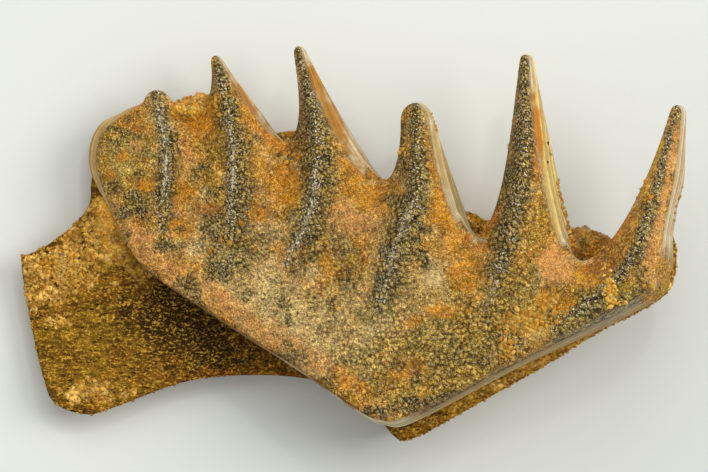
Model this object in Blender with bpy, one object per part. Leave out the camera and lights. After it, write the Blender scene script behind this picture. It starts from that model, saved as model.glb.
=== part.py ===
"""A fossil lungfish tooth plate on its jaw bone, life size, lying crown up as it rests on a table.

The crown is one thick plate of dentine. Six ridges spread over it from its inner corner and end in free
cusps: ridge 1, the front one, is at +X and ridge 6 at -X. The jaw bone lies under the crown, rests on four
small flats, and runs on towards -X as a broad, thin process. Lumps of sandstone cling to two notches and to
the heel.

The crown is one piece in life. Here thin cuts part its cusps from the plate. Every size below is in
millimetres, with X and Y across the table and Z up, and node() scales them to metres."""

import math
from collections import namedtuple

import bpy
import numpy as np
from mathutils import Vector, noise
from mathutils.geometry import delaunay_2d_cdt

MM = 0.001
GAP = 0.3  # clearance between nodes that touch

# The biting face is a sloping plane, and the crown's thickness grows along it from ridge 6 to ridge 1.
CROWN_SLOPE = math.radians(10.0)
CROWN_HEADING = math.radians(-24.0)  # the way that the plane rises, from +X
CROWN_PIVOT = (1.8, -0.8)
PIVOT_HEIGHT = 6.6
THIN_END = (-15.0, 1.6)  # x and thickness
THICK_END = (18.0, 3.0)
TIP_THICKNESS = 0.35  # each cusp thins towards its tip, to this share
WALL_LEAN = math.tan(CROWN_SLOPE)  # the walls stand square to the plane
WALL_FLARE = 0.08  # and widen by this much for each millimetre down
HEEL_FLARE = (0.5, (-14.5, 6.0), 3.2)  # the heel's wall widens by this much more, round this place and this far
FLARE_CLEAR = (0.5, 2.5)  # distances from a notch or a cut's end over which that widening sets in
# A point this close to the crown's own edge is on it. The others are on a cut, which doesn't flare.
ON_EDGE = 0.05
EDGE_ROLL = (0.3, 0.4)  # how far the biting face rolls down at its edge, and over what distance

# A ridge's crest runs from its tip to where it fades. Each pull is the handle of the curve that leaves the
# tip.
Ridge = namedtuple("Ridge", "crest tip_width left_pull right_pull height root_width")
RIDGES = (
    Ridge(
        ((18.55, 8.02), (17.2, 3.0), (15.7, -1.0), (11.9, -4.4), (6.7, -7.0)), 0.62, (-1.1, -3.8), None, 1.7, 1.9
    ),
    Ridge(((9.87, 10.93), (9.65, 4.3), (8.7, 0.0), (7.2, -4.9)), 0.6, (-0.55, -4.3), (0.5, -4.5), 1.9, 2.1),
    Ridge(((3.58, 8.15), (3.6, 3.4), (2.5, 0.0), (1.0, -5.5)), 1.7, (0.1, -1.6), (0.5, -2.3), 1.8, 1.9),
    Ridge(((-3.18, 11.42), (-2.1, 6.0), (-2.5, 1.7), (-4.3, -1.9)), 0.5, (0.2, -1.7), (1.2, -2.7), 1.6, 1.7),
    Ridge(((-7.93, 10.9), (-6.9, 5.7), (-7.0, 1.1), (-7.2, -1.2)), 0.52, (0.2, -1.1), (0.95, -1.6), 1.3, 1.5),
    Ridge(
        ((-11.35, 8.88), (-10.7, 5.4), (-10.8, 3.1), (-11.2, 1.0)), 1.5, (-0.3, -0.2), (0.4, -0.3), 0.9, 1.4
    ),
)
CREST_AT_TIP = 0.2  # share of a ridge's height that is left at its tip
CREST_FULL = 0.42  # share of its length at which it stands highest
CREST_WIDTH = (0.3, 0.6)  # share of the root width at the tip, and share of the length where it is full
CREST_SHARPNESS = 1.4  # 1 gives a knife edge, 2 a round back

# The notch between each ridge and the next, with a curve handle towards each of them.
Notch = namedtuple("Notch", "at to_right to_left")
NOTCHES = (
    Notch((13.0, -1.0), (1.9, 0.2), (-1.4, 0.4)),
    Notch((7.0, 0.4), (1.55, 0.6), (-1.1, 0.5)),
    Notch((1.9, 3.6), (0.6, 0.3), (-1.6, 0.7)),
    Notch((-3.9, 5.8), (1.35, 0.35), (-1.0, 0.7)),
    Notch((-9.4, 7.3), (1.4, 0.3), (-0.5, 0.2)),
)
# Ridges 2 to 5 have a smooth bevel along the right edge of their cusps, and the others none.
BEVEL_WIDTHS = (0.0, 0.45, 0.45, 0.75, 0.25, 0.0)
BEVEL_AT_TIP = (0.55, 0.3)  # share of its width at the tip, and share of the crest's length where it is full
BEVEL_ENDS = (0.8, 0.95)  # shares of the crest's length between which it ends
BEVEL_DEPTH = 0.4  # share of the crown's thickness that it takes off at the edge
BEVEL_BLEND = 0.6  # it gives way to the next ridge over this distance to each side of the middle between them
BEVEL_CLEAR = 0.35  # and it is whole from this far off the crest
NOTCH_DIP = (0.5, 2.2)  # how far each valley dips at its notch, and over what distance

# The crown's free edge from the shoulder behind ridge 6, round the heel and the inner corner, to the tip of
# ridge 1.
SHOULDER = (-13.25, 7.3)
SHOULDER_PULL = (0.4, 0.35)
HEEL_EDGE = (
    (-14.4, 6.3), (-14.65, 4.6), (-14.05, 2.6), (-12.3, -0.9), (-7.8, -4.1), (-3.4, -6.9), (0.2, -9.4),
    (1.6, -10.0), (3.2, -9.75), (9.5, -6.4), (16.6, -2.8), (17.25, -1.9), (17.8, 1.1), (18.4, 4.2),
)
HEEL_DOME = (0.5, 9.0)  # rise of the smooth heel between the ridges' roots, and its radius
HEEL_MIDDLE = (1.5, -5.0)

# Each cusp is cut off along the line between its two notches, or between a notch and a point on the free
# edge.
CUSP_CUT = 0.15  # the plate ends this far outside that line, and the cusp begins a GAP further on
FRONT_CUT_END = (17.7, 1.6)
BACK_CUT_END = (-14.2, 6.7)

# The jaw bone, seen from above, anticlockwise: the process at -X, the thick front rim, and the scalloped
# margin under the cusps.
BONE_EDGE = (
    (-18.35, -5.0), (-17.75, -7.5), (-17.1, -9.1), (-15.2, -9.75), (-13.7, -9.35), (-9.3, -7.8), (-4.7, -7.5),
    (-1.2, -8.0), (0.9, -9.1), (2.1, -10.7), (2.95, -11.25), (4.4, -10.65), (7.1, -9.15), (10.8, -7.05),
    (14.2, -4.95), (17.5, -3.2), (18.4, -1.9), (18.45, 0.1), (17.7, 1.2), (15.5, 0.6), (13.4, -0.1),
    (11.7, 0.7), (9.5, 2.4), (7.95, 1.35), (6.9, 1.8), (5.5, 2.3), (3.6, 3.9), (1.9, 3.4), (0.2, 4.5),
    (-1.9, 6.3), (-3.65, 6.5), (-5.5, 6.3), (-7.4, 7.7), (-9.4, 8.0), (-11.3, 7.6), (-13.7, 6.3),
    (-14.9, 4.0), (-15.05, 2.4),
    (-15.75, 1.35), (-16.6, 0.6), (-17.6, -0.1), (-18.6, -0.6), (-19.0, -1.05),
)
PROCESS_TOP = 2.3  # height of the process's upper face
PROCESS_TROUGH = (0.5, -4.2, 3.2)  # depth of the hollow along it, its y, and its half width
PROCESS_RIM = (0.35, 1.2)  # how far its edges round off, and over what distance
BONE_STEP = (0.5, 2.4)  # the bone climbs to the crown between these distances inside the crown's inner edge
INNER_EDGE = ((-14.2, 2.6), (1.0, -9.8))
PROCESS_ENDS = (-4.0, 0.5)  # between these x the process gives way to the rim at the inner corner
RIM_FALL = 0.5  # the bone's upper face falls this much for each millimetre outside the crown
BODY_HOLLOW = 0.6  # height of the bone's underside between its feet
FRONT_LIFT = (2.4, 6.0, 18.5)  # rise of the underside at the front, and the x where it starts and ends
UNDER_ROUND = (0.7, 1.0)  # how far the underside curves up at its edge, and over what distance
LEAST_BONE = 0.9  # the bone is nowhere thinner than this
BONE_TUCK = 0.45  # the bone's side leans in by this much at its foot
# The feet: middle and half widths of each flat that the bone rests on.
FEET = (
    ((-15.6, -6.8), (1.5, 1.2)), ((-12.2, 4.4), (1.5, 1.3)), ((4.6, -7.6), (1.7, 1.2)),
    ((9.0, -0.4), (1.6, 1.3)),
)
FOOT_FADE = 2.6  # a foot's slopes reach out to this many times its half widths
FOOT_EDGE = 1.6  # and the underside's rounded edge sets in up to this many times them

# Sandstone lumps: the middle, half sizes and turn of each one's oval, its height at the middle, and its
# bumps' seed.
Lump = namedtuple("Lump", "name middle radii turn height seed")
LUMPS = (
    Lump("sandstone_1_2", (13.1, -0.2), (1.9, 1.05), -0.15, 6.4, 3),
    Lump("sandstone_5_6", (-9.2, 7.7), (1.6, 0.75), 0.3, 4.0, 11),
    Lump("sandstone_heel", (-13.75, 0.85), (0.95, 1.9), 0.44, 3.2, 13),
)
LUMP_BUMPS = (0.25, 0.9)  # height and size of the bumps
LUMP_RAGGED = 0.3  # share by which the bumps move a lump's outline
LUMP_LEAST = 0.5  # thickness at a lump's edge
LUMP_CLEAR = GAP + 0.02
LUMP_CORNERS = 28
LUMP_STEP = 0.45

CROWN_STEP = 0.85  # spacing of the points over each kind of face
CUSP_STEP = 0.6
FLOOR_STEP = 1.7
BONE_FACE_STEP = 0.95
BONE_UNDER_STEP = 1.1
EDGE_SPACING = 0.42
BONE_SPACING = 0.55
CLOSEST = 0.08  # of two points closer than this on the plate's edge, one is dropped
CLEAR_OF_EDGE = 0.6  # points over a face keep this share of a step from its edge, and as much from its lines
SHARP_ANGLE = math.radians(40.0)  # edges that turn more than this stay crisp


def smooth_step(low, high, value):
    share = np.clip((value - low) / (high - low), 0.0, 1.0)
    return share * share * (3.0 - 2.0 * share)


def bezier(start, start_handle, end_handle, end, count=14):
    """Points of a cubic curve, without its end."""
    t = np.linspace(0.0, 1.0, count, endpoint=False)[:, None]
    corners = (start, start_handle, end_handle, end)
    start, start_handle, end_handle, end = (np.array(corner, float) for corner in corners)
    s = 1.0 - t
    return s**3 * start + 3 * s**2 * t * start_handle + 3 * s * t**2 * end_handle + t**3 * end


def through(points, closed=False, per_span=8):
    """A smooth Catmull-Rom curve through the points. An open one includes its last point."""
    p = np.array(points, float)
    if closed:
        p = np.vstack([p[-1:], p, p[:2]])
    else:
        p = np.vstack([2 * p[0] - p[1], p, 2 * p[-1] - p[-2]])
    t = np.linspace(0.0, 1.0, per_span, endpoint=False)[:, None]
    spans = [
        0.5 * (2 * b + (c - a) * t + (2 * a - 5 * b + 4 * c - d) * t**2 + (3 * b - a - 3 * c + d) * t**3)
        for a, b, c, d in zip(p, p[1:], p[2:], p[3:])
    ]
    return np.vstack(spans if closed else spans + [p[-2:-1]])


def evenly(loop, spacing):
    """The closed loop again, with points about this far apart."""
    closed = np.vstack([loop, loop[:1]])
    along = np.concatenate([[0.0], np.cumsum(np.linalg.norm(np.diff(closed, axis=0), axis=1))])
    at = np.linspace(0.0, along[-1], max(8, round(along[-1] / spacing)), endpoint=False)
    return np.column_stack([np.interp(at, along, closed[:, k]) for k in (0, 1)])


def outward(loop):
    """Unit normals of an anticlockwise loop."""
    way = np.roll(loop, -1, axis=0) - np.roll(loop, 1, axis=0)
    normals = np.column_stack([way[:, 1], -way[:, 0]])
    return normals / np.linalg.norm(normals, axis=1)[:, None]


def line_distance(xy, line):
    """Distance from each point to a line of many points, the share of the line's length where it is nearest,
    and its side: 1 on the left of the line's own way and -1 on the right."""
    a, b = line[:-1], line[1:]
    run = b - a
    length = np.linalg.norm(run, axis=1)
    before = np.concatenate([[0.0], np.cumsum(length)])
    t = np.einsum("ijk,jk->ij", xy[:, None] - a[None], run) / np.maximum(length**2, 1e-12)
    t = np.clip(t, 0.0, 1.0)
    apart = np.linalg.norm(xy[:, None] - (a[None] + t[..., None] * run[None]), axis=2)
    nearest = apart.argmin(axis=1)
    rows = np.arange(len(xy))
    share = (before[nearest] + t[rows, nearest] * length[nearest]) / before[-1]
    side = run[nearest, 0] * (xy[:, 1] - a[nearest, 1]) - run[nearest, 1] * (xy[:, 0] - a[nearest, 0])
    return apart[rows, nearest], share, np.sign(side)


def edge_distance(xy, loop):
    return line_distance(xy, np.vstack([loop, loop[:1]]))[0]


def inside(xy, loop):
    """True for each point that lies inside the loop."""
    a, b = loop, np.roll(loop, -1, axis=0)
    x, y = xy[:, :1], xy[:, 1:]
    spans = (a[:, 1] > y) != (b[:, 1] > y)
    rise = np.where(b[:, 1] == a[:, 1], 1e-12, b[:, 1] - a[:, 1])
    crossing = x < a[:, 0] + (y - a[:, 1]) * (b[:, 0] - a[:, 0]) / rise
    return (spans & crossing).sum(axis=1) % 2 == 1


def tip_arc(ridge):
    """The rounded end of a ridge, from its right side over its tip to its left side."""
    crest = np.array(ridge.crest)
    axis = (crest[0] - crest[1]) / np.linalg.norm(crest[0] - crest[1])
    radius = ridge.tip_width / 2
    middle = crest[0] - axis * radius
    start = math.atan2(axis[1], axis[0]) - math.pi / 2
    angles = start + np.linspace(0.0, math.pi, 5)
    return middle + radius * np.column_stack([np.cos(angles), np.sin(angles)])


def flank(ridge, tip_side, pull, notch, handle):
    """One side of a cusp, from its tip to the notch."""
    start = tip_arc(ridge)[tip_side]
    return bezier(start, start + np.array(pull), np.array(notch) + np.array(handle), notch)


def crown_outline():
    """The whole crown's edge, anticlockwise from ridge 1's tip."""
    pieces = []
    for k, ridge in enumerate(RIDGES):
        pieces.append(tip_arc(ridge))
        if k == len(RIDGES) - 1:
            pieces.append(flank(ridge, -1, ridge.left_pull, SHOULDER, SHOULDER_PULL)[1:])
            break
        notch, after = NOTCHES[k], RIDGES[k + 1]
        pieces.append(flank(ridge, -1, ridge.left_pull, notch.at, notch.to_right)[1:])
        rising = flank(after, 0, after.right_pull, notch.at, notch.to_left)[1:]
        pieces.append(np.vstack([[notch.at], rising[::-1]]))
    pieces.append(through((SHOULDER, *HEEL_EDGE, tip_arc(RIDGES[0])[0]))[:-1])
    return evenly(np.vstack(pieces), EDGE_SPACING)


CROWN_EDGE = crown_outline()
CRESTS = [through(ridge.crest, per_span=6) for ridge in RIDGES]


def plane_height(xy):
    """Height of the plane that the biting face follows."""
    away = xy - np.array(CROWN_PIVOT)
    rise = away[:, 0] * math.cos(CROWN_HEADING) + away[:, 1] * math.sin(CROWN_HEADING)
    return PIVOT_HEIGHT + math.tan(CROWN_SLOPE) * rise


def cut_line(k):
    """The two ends of the line along which cusp k is cut off, right end first."""
    right = FRONT_CUT_END if k == 0 else NOTCHES[k - 1].at
    left = BACK_CUT_END if k == len(RIDGES) - 1 else NOTCHES[k].at
    return np.array(right), np.array(left)


def beyond(xy, k):
    """How far each point lies beyond cusp k's cut line, towards its tip."""
    right, left = cut_line(k)
    run = (left - right) / np.linalg.norm(left - right)
    return (xy - right) @ np.array([run[1], -run[0]])


def crown_thickness(xy):
    """The crown's thickness below the plane, which tapers along each cusp."""
    (x0, thin), (x1, thick) = THIN_END, THICK_END
    full = thin + (thick - thin) * (xy[:, 0] - x0) / (x1 - x0)
    nearest = np.array([line_distance(xy, crest)[0] for crest in CRESTS]).argmin(axis=0)
    out = np.zeros(len(xy))
    for k, ridge in enumerate(RIDGES):
        length = beyond(np.array([ridge.crest[0]]), k)[0]
        out[nearest == k] = np.clip(beyond(xy[nearest == k], k) / length, 0.0, 1.0)
    return full * (1.0 - (1.0 - TIP_THICKNESS) * out)


def crown_floor(xy):
    """Height of the crown's underside."""
    return plane_height(xy) - crown_thickness(xy)


def bevel(xy):
    """How far down the bevel each point is, from 0 at its upper edge to 1 at the crown's edge. Seen along a
    crest from its tip, the bevel is on the left, which is the side towards +X."""
    to_crests = [line_distance(xy, crest) for crest in CRESTS]
    from_edge = edge_distance(xy, CROWN_EDGE)
    down = np.zeros(len(xy))
    for k, width in enumerate(BEVEL_WIDTHS):
        if width == 0.0:
            continue
        apart, share, side = to_crests[k]
        start, full = BEVEL_AT_TIP
        reach = width * (start + (1 - start) * smooth_step(0.0, full, share))
        own = smooth_step(-BEVEL_BLEND, BEVEL_BLEND, to_crests[k - 1][0] - apart)
        own *= smooth_step(0.0, BEVEL_CLEAR, apart) * (1.0 - smooth_step(*BEVEL_ENDS, share))
        down = np.maximum(down, np.where(side > 0, own * np.clip(1.0 - from_edge / reach, 0.0, 1.0), 0.0))
    return down


def crown_face(xy):
    """Height of the biting face without its bevels: sharp ridges, valleys that dip towards the notches, and a
    gently domed heel."""
    height = plane_height(xy)
    for ridge, crest in zip(RIDGES, CRESTS):
        apart, share, _ = line_distance(xy, crest)
        swell = CREST_AT_TIP + (1 - CREST_AT_TIP) * smooth_step(0.0, CREST_FULL, share)
        fade = 1.0 - smooth_step(CREST_FULL, 1.0, share)
        narrow, wide_at = CREST_WIDTH
        width = ridge.root_width * (narrow + (1 - narrow) * smooth_step(0.0, wide_at, share))
        height += ridge.height * swell * fade * np.exp(-((apart / width) ** CREST_SHARPNESS))
    for notch in NOTCHES:
        away = np.linalg.norm(xy - np.array(notch.at), axis=1)
        height -= NOTCH_DIP[0] * np.exp(-((away / NOTCH_DIP[1]) ** 2))
    from_heel = np.linalg.norm(xy - np.array(HEEL_MIDDLE), axis=1)
    height += HEEL_DOME[0] * np.exp(-((from_heel / HEEL_DOME[1]) ** 2))
    return height - EDGE_ROLL[0] * np.exp(-edge_distance(xy, CROWN_EDGE) / EDGE_ROLL[1])


def crown_top(xy):
    return crown_face(xy) - BEVEL_DEPTH * crown_thickness(xy) * bevel(xy)


def crown_foot(loop):
    """Where the crown's wall stands at its lowest, below each point of its upper edge. The wall flares only
    away from the notches and the ends of the cuts."""
    lean = WALL_LEAN * np.array([math.cos(CROWN_HEADING), math.sin(CROWN_HEADING)])
    nearest = np.linalg.norm(loop[:, None] - CROWN_EDGE[None], axis=2).argmin(axis=1)
    straight = np.array([notch.at for notch in NOTCHES] + [FRONT_CUT_END, BACK_CUT_END])
    away = np.linalg.norm(loop[:, None] - straight[None], axis=2).min(axis=1)
    more, heel, reach = HEEL_FLARE
    share = WALL_FLARE * smooth_step(*FLARE_CLEAR, away)
    share += more * np.exp(-((np.linalg.norm(loop - np.array(heel), axis=1) / reach) ** 2))
    flare = share[:, None] * outward(CROWN_EDGE)[nearest]
    flare[edge_distance(loop, CROWN_EDGE) > ON_EDGE] = 0.0
    return loop + (crown_face(loop) - crown_floor(loop))[:, None] * (lean + flare)


def bone_top(xy):
    """Height of the bone's upper face: close under the crown, falling away outside it, low on the process."""
    outside = np.where(inside(xy, CROWN_EDGE), 0.0, edge_distance(xy, CROWN_EDGE))
    under_crown = crown_floor(xy) - GAP
    depth, y_middle, half_width = PROCESS_TROUGH
    process = PROCESS_TOP - depth * np.exp(-(((xy[:, 1] - y_middle) / half_width) ** 2))
    process -= PROCESS_RIM[0] * np.exp(-edge_distance(xy, BONE_LOOP) / PROCESS_RIM[1])
    process = np.minimum(process, under_crown + outside)
    start, end = np.array(INNER_EDGE)
    run = (end - start) / np.linalg.norm(end - start)
    within = (xy - start) @ np.array([-run[1], run[0]])
    on_process = (1.0 - smooth_step(*BONE_STEP, within)) * (1.0 - smooth_step(*PROCESS_ENDS, xy[:, 0]))
    rim = under_crown - RIM_FALL * outside
    return rim + on_process * (process - rim)


def bone_under(xy):
    """Height of the bone's underside, which is 0 on each foot."""
    lift, x0, x1 = FRONT_LIFT
    height = BODY_HOLLOW + lift * smooth_step(x0, x1, xy[:, 0])
    for middle, half in FEET:
        away = np.linalg.norm((xy - np.array(middle)) / np.array(half), axis=1)
        height = height * smooth_step(1.0, FOOT_FADE, away)
    edge = UNDER_ROUND[0] * np.exp(-edge_distance(xy, BONE_LOOP) / UNDER_ROUND[1])
    on_foot = np.min([np.linalg.norm((xy - np.array(m)) / np.array(h), axis=1) for m, h in FEET], axis=0)
    return np.minimum(height + edge * smooth_step(1.0, FOOT_EDGE, on_foot), bone_top(xy) - LEAST_BONE)


def bone_foot(loop):
    return loop - BONE_TUCK * outward(loop)


BONE_LOOP = evenly(through(BONE_EDGE, closed=True), BONE_SPACING)


def cap(loop, step, lines=()):
    """Triangles that fill the loop, as (points, faces). The loop's own points come first, in order."""
    loop_size = len(loop)
    (x0, y0), (x1, y1) = loop.min(axis=0), loop.max(axis=0)
    rows = np.arange(y0, y1, step * math.sqrt(3) / 2)
    columns = np.arange(x0, x1, step)
    grid = np.array([(x + step / 2 * (k % 2), y) for k, y in enumerate(rows) for x in columns])
    points, edges = [loop], [(k, (k + 1) % loop_size) for k in range(loop_size)]
    total = loop_size
    for line in lines:
        kept = line[inside(line, loop) & (edge_distance(line, loop) > CLEAR_OF_EDGE * step)]
        if len(kept) < 2:
            continue
        grid = grid[line_distance(grid, kept)[0] > CLEAR_OF_EDGE * step]
        edges += [(total + k, total + k + 1) for k in range(len(kept) - 1)]
        points.append(kept)
        total += len(kept)
    points.append(grid[inside(grid, loop) & (edge_distance(grid, loop) > CLEAR_OF_EDGE * step)])
    flat = np.vstack(points)
    _, _, faces, came_from, _, _ = delaunay_2d_cdt([Vector(p) for p in flat], edges, [], 1, 1e-6)
    number = [min(sources) for sources in came_from]
    return flat, [[number[k] for k in face] for face in faces]


def slab(loop, top, foot_of, under, top_step, under_step, lines=(), levels=(0.5,)):
    """A solid between two faces over the loop, as (vertices, faces). foot_of gives the lower edge's place, and
    levels the shares of the wall's height where it has a row of points."""
    upper_xy, upper_faces = cap(loop, top_step, lines)
    foot = foot_of(loop)
    lower_xy, lower_faces = cap(foot, under_step)
    upper = np.column_stack([upper_xy, top(upper_xy)])
    lower = np.column_stack([lower_xy, under(lower_xy)])
    count = len(loop)
    rings = [upper[:count] + share * (lower[:count] - upper[:count]) for share in levels]
    vertices = np.vstack([upper, *rings, lower])
    starts = [0] + [len(upper) + k * count for k in range(len(rings))] + [len(upper) + len(rings) * count]
    faces = [list(face) for face in upper_faces]
    faces += [[starts[-1] + k for k in reversed(face)] for face in lower_faces]
    for high, low in zip(starts, starts[1:]):
        for k in range(count):
            after = (k + 1) % count
            faces.append([high + k, low + k, low + after, high + after])
    return vertices, faces


def material(name, colour, roughness):
    made = bpy.data.materials.new(name)
    made.use_nodes = True
    shader = made.node_tree.nodes["Principled BSDF"]
    shader.inputs["Base Color"].default_value = (*colour, 1.0)
    shader.inputs["Roughness"].default_value = roughness
    made.diffuse_color = (*colour, 1.0)
    return made


def node(name, vertices, faces, look, parent=None):
    """One named object, with its origin in the middle of its own mesh."""
    middle = (vertices.min(axis=0) + vertices.max(axis=0)) / 2
    mesh = bpy.data.meshes.new(name)
    mesh.from_pydata(((vertices - middle) * MM).tolist(), [], faces)
    mesh.validate()
    mesh.materials.append(look)
    mesh.shade_smooth()
    mesh.set_sharp_from_angle(angle=SHARP_ANGLE)
    made = bpy.data.objects.new(name, mesh)
    made.location = middle * MM
    made.parent = parent
    bpy.context.scene.collection.objects.link(made)
    return made


def split_loop(loop, values):
    """The stretch of the loop where values are positive, with its two ends moved to where they are 0."""
    positive = values > 0
    start = next(k for k in range(len(loop)) if positive[k] and not positive[k - 1])
    order = np.roll(np.arange(len(loop)), -start)
    length = next(n for n, k in enumerate(order) if not positive[k])
    run = order[:length]

    def crossing(a, b):
        return loop[a] + (loop[b] - loop[a]) * values[a] / (values[a] - values[b])

    return np.vstack([crossing(run[0] - 1, run[0]), loop[run], crossing(run[-1], (run[-1] + 1) % len(loop))])


def between(start, end, spacing=EDGE_SPACING):
    """Points on a straight line, without its ends."""
    count = max(2, round(np.linalg.norm(end - start) / spacing))
    return start + np.linspace(0.0, 1.0, count + 1)[1:-1, None] * (end - start)


def nearby(k):
    """True along the stretch of the crown's edge that can belong to cusp k, from notch to notch."""
    right, left = cut_line(k)
    start = np.linalg.norm(CROWN_EDGE - right, axis=1).argmin()
    end = np.linalg.norm(CROWN_EDGE - left, axis=1).argmin()
    places = np.arange(len(CROWN_EDGE))
    return (places >= start) & (places <= end) if start <= end else (places >= start) | (places <= end)


def cusp_loop(k):
    """Cusp k's own outline."""
    values = np.where(nearby(k), beyond(CROWN_EDGE, k) - CUSP_CUT - GAP, -1.0)
    free = split_loop(CROWN_EDGE, values)
    return np.vstack([free, between(free[-1], free[0])])


def plate_loop():
    """The crown's outline with every cusp cut off."""
    loop = CROWN_EDGE
    kept = np.ones(len(loop), bool)
    bases = {}
    for k in range(len(RIDGES)):
        values = np.where(nearby(k), beyond(loop, k) - CUSP_CUT, -1.0)
        free = split_loop(loop, values)
        kept &= values <= 0
        first = int(np.flatnonzero((values > 0) & (np.roll(values, 1) <= 0))[0])
        bases[first] = np.vstack([free[:1], between(free[0], free[-1]), free[-1:]])
    points = []
    for k in range(len(loop)):
        if k in bases:
            points.extend(bases[k])
        if kept[k]:
            points.append(loop[k])
    points = np.array(points)
    apart = np.linalg.norm(points - np.roll(points, 1, axis=0), axis=1)
    return points[apart > CLOSEST]


def lump_share(xy, spec):
    """How far each point is from a lump's middle, with 1 at the edge of its oval."""
    away = xy - np.array(spec.middle)
    c, s = math.cos(spec.turn), math.sin(spec.turn)
    turned = away @ np.array([[c, -s], [s, c]])
    return np.linalg.norm(turned / np.array(spec.radii), axis=1)


def lump_loop(spec):
    """A lump's outline: its oval, cut back to a GAP from the crown's upper and lower edges."""
    reach = np.linspace(0.1, (1 + LUMP_RAGGED) * max(spec.radii), 120)
    foot = crown_foot(CROWN_EDGE)
    points = []
    for angle in np.linspace(0.0, 2 * math.pi, LUMP_CORNERS, endpoint=False):
        ray = np.array(spec.middle) + reach[:, None] * np.array([math.cos(angle), math.sin(angle)])
        bumps = np.array([noise.noise(Vector((x, y, spec.seed)) / LUMP_BUMPS[1]) for x, y in ray])
        blocked = lump_share(ray, spec) > 1.0 + LUMP_RAGGED * bumps
        for edge in (CROWN_EDGE, foot):
            blocked |= inside(ray, edge) | (edge_distance(ray, edge) < LUMP_CLEAR)
        points.append(ray[max(0, blocked.argmax() - 1)])
    return evenly(np.array(points), LUMP_STEP)


def lump(spec):
    """A domed, bumpy mass of sandstone that lies on the bone, as (vertices, faces)."""

    def under(xy):
        return bone_top(xy) + GAP

    def top(xy):
        high, size = LUMP_BUMPS
        bumps = np.array([noise.noise(Vector((x, y, 2 * spec.seed)) / size) for x, y in xy])
        dome = np.sqrt(np.clip(1.0 - lump_share(xy, spec) ** 2, 0.0, 1.0))
        least = under(xy) + LUMP_LEAST
        return least + dome * np.maximum(spec.height - least + high * bumps, 0.0)

    return slab(lump_loop(spec), top, lambda loop: loop, under, LUMP_STEP, LUMP_STEP * 1.5, levels=())


def main():
    for old in list(bpy.data.objects):
        bpy.data.objects.remove(old)
    dentine = material("dentine", (0.33, 0.18, 0.07), 0.4)
    bone = material("bone", (0.25, 0.14, 0.045), 0.65)
    sandstone = material("sandstone", (0.45, 0.23, 0.06), 0.85)
    root = bpy.data.objects.new("tooth_plate", None)
    bpy.context.scene.collection.objects.link(root)

    plate = slab(plate_loop(), crown_top, crown_foot, crown_floor, CROWN_STEP, FLOOR_STEP, CRESTS)
    jaw = slab(BONE_LOOP, bone_top, bone_foot, bone_under, BONE_FACE_STEP, BONE_UNDER_STEP, CRESTS)
    node("crown_plate", *plate, dentine, root)
    node("jaw_bone", *jaw, bone, root)
    for k in range(len(RIDGES)):
        solid = slab(cusp_loop(k), crown_top, crown_foot, crown_floor, CUSP_STEP, FLOOR_STEP, CRESTS[k:k + 1])
        node(f"cusp_{k + 1}", *solid, dentine, root)
    for spec in LUMPS:
        node(spec.name, *lump(spec), sandstone, root)


main()
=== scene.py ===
"""The looks of the fossil lungfish tooth plate: crown, jaw bone, sandstone, floor, light and camera.

Sizes are in millimetres, in the CAD's own frame, until make() scales them to metres. Places were read off the
photograph in its pixels, and px() turns a pixel into a place."""

import math

import bpy
import numpy as np
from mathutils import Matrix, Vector, noise
from mathutils.geometry import delaunay_2d_cdt


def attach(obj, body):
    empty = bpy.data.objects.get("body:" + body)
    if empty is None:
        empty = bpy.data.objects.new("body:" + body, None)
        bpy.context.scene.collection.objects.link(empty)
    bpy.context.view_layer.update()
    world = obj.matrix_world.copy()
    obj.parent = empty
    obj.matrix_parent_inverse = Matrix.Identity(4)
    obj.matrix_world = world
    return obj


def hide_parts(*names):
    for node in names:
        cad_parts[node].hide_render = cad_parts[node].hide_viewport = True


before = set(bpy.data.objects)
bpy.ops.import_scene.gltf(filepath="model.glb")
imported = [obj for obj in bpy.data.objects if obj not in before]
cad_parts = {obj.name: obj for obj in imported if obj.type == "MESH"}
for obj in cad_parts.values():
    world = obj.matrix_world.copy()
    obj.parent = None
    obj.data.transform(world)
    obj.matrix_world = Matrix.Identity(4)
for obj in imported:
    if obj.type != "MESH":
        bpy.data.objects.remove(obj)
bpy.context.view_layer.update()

MM = 0.001
PX_PER_MM = 17.5
PHOTO_SIZE, PHOTO_ORIGIN = (708, 472), (352.5, 244.5)
GAP = 0.3

# The crown's shape, as in the solids.

SLOPE = math.radians(10.0)
HEADING = math.radians(-24.0)
PIVOT, PIVOT_HEIGHT = (1.8, -0.8), 6.6
THIN_END, THICK_END = (-15.0, 1.6), (18.0, 3.0)
TIP_THICKNESS = 0.35
LEAN = math.tan(SLOPE)
FLARE, FLARE_CLEAR, HEEL_FLARE = 0.08, (0.5, 2.5), (0.5, (-14.5, 6.0), 3.2)
EDGE_ROLL = (0.3, 0.4)

# Each ridge's crest, tip width, left pull, right pull, height and root width.
RIDGES = (
    (
        ((18.55, 8.02), (17.2, 3.0), (15.7, -1.0), (11.9, -4.4), (6.7, -7.0)),
        0.62, (-1.1, -3.8), None, 1.7, 1.9,
    ),
    (((9.87, 10.93), (9.65, 4.3), (8.7, 0.0), (7.2, -4.9)), 0.6, (-0.55, -4.3), (0.5, -4.5), 1.9, 2.1),
    (((3.58, 8.15), (3.6, 3.4), (2.5, 0.0), (1.0, -5.5)), 1.7, (0.1, -1.6), (0.5, -2.3), 1.8, 1.9),
    (((-3.18, 11.42), (-2.1, 6.0), (-2.5, 1.7), (-4.3, -1.9)), 0.5, (0.2, -1.7), (1.2, -2.7), 1.6, 1.7),
    (((-7.93, 10.9), (-6.9, 5.7), (-7.0, 1.1), (-7.2, -1.2)), 0.52, (0.2, -1.1), (0.95, -1.6), 1.3, 1.5),
    (((-11.35, 8.88), (-10.7, 5.4), (-10.8, 3.1), (-11.2, 1.0)), 1.5, (-0.3, -0.2), (0.4, -0.3), 0.9, 1.4),
)
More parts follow.
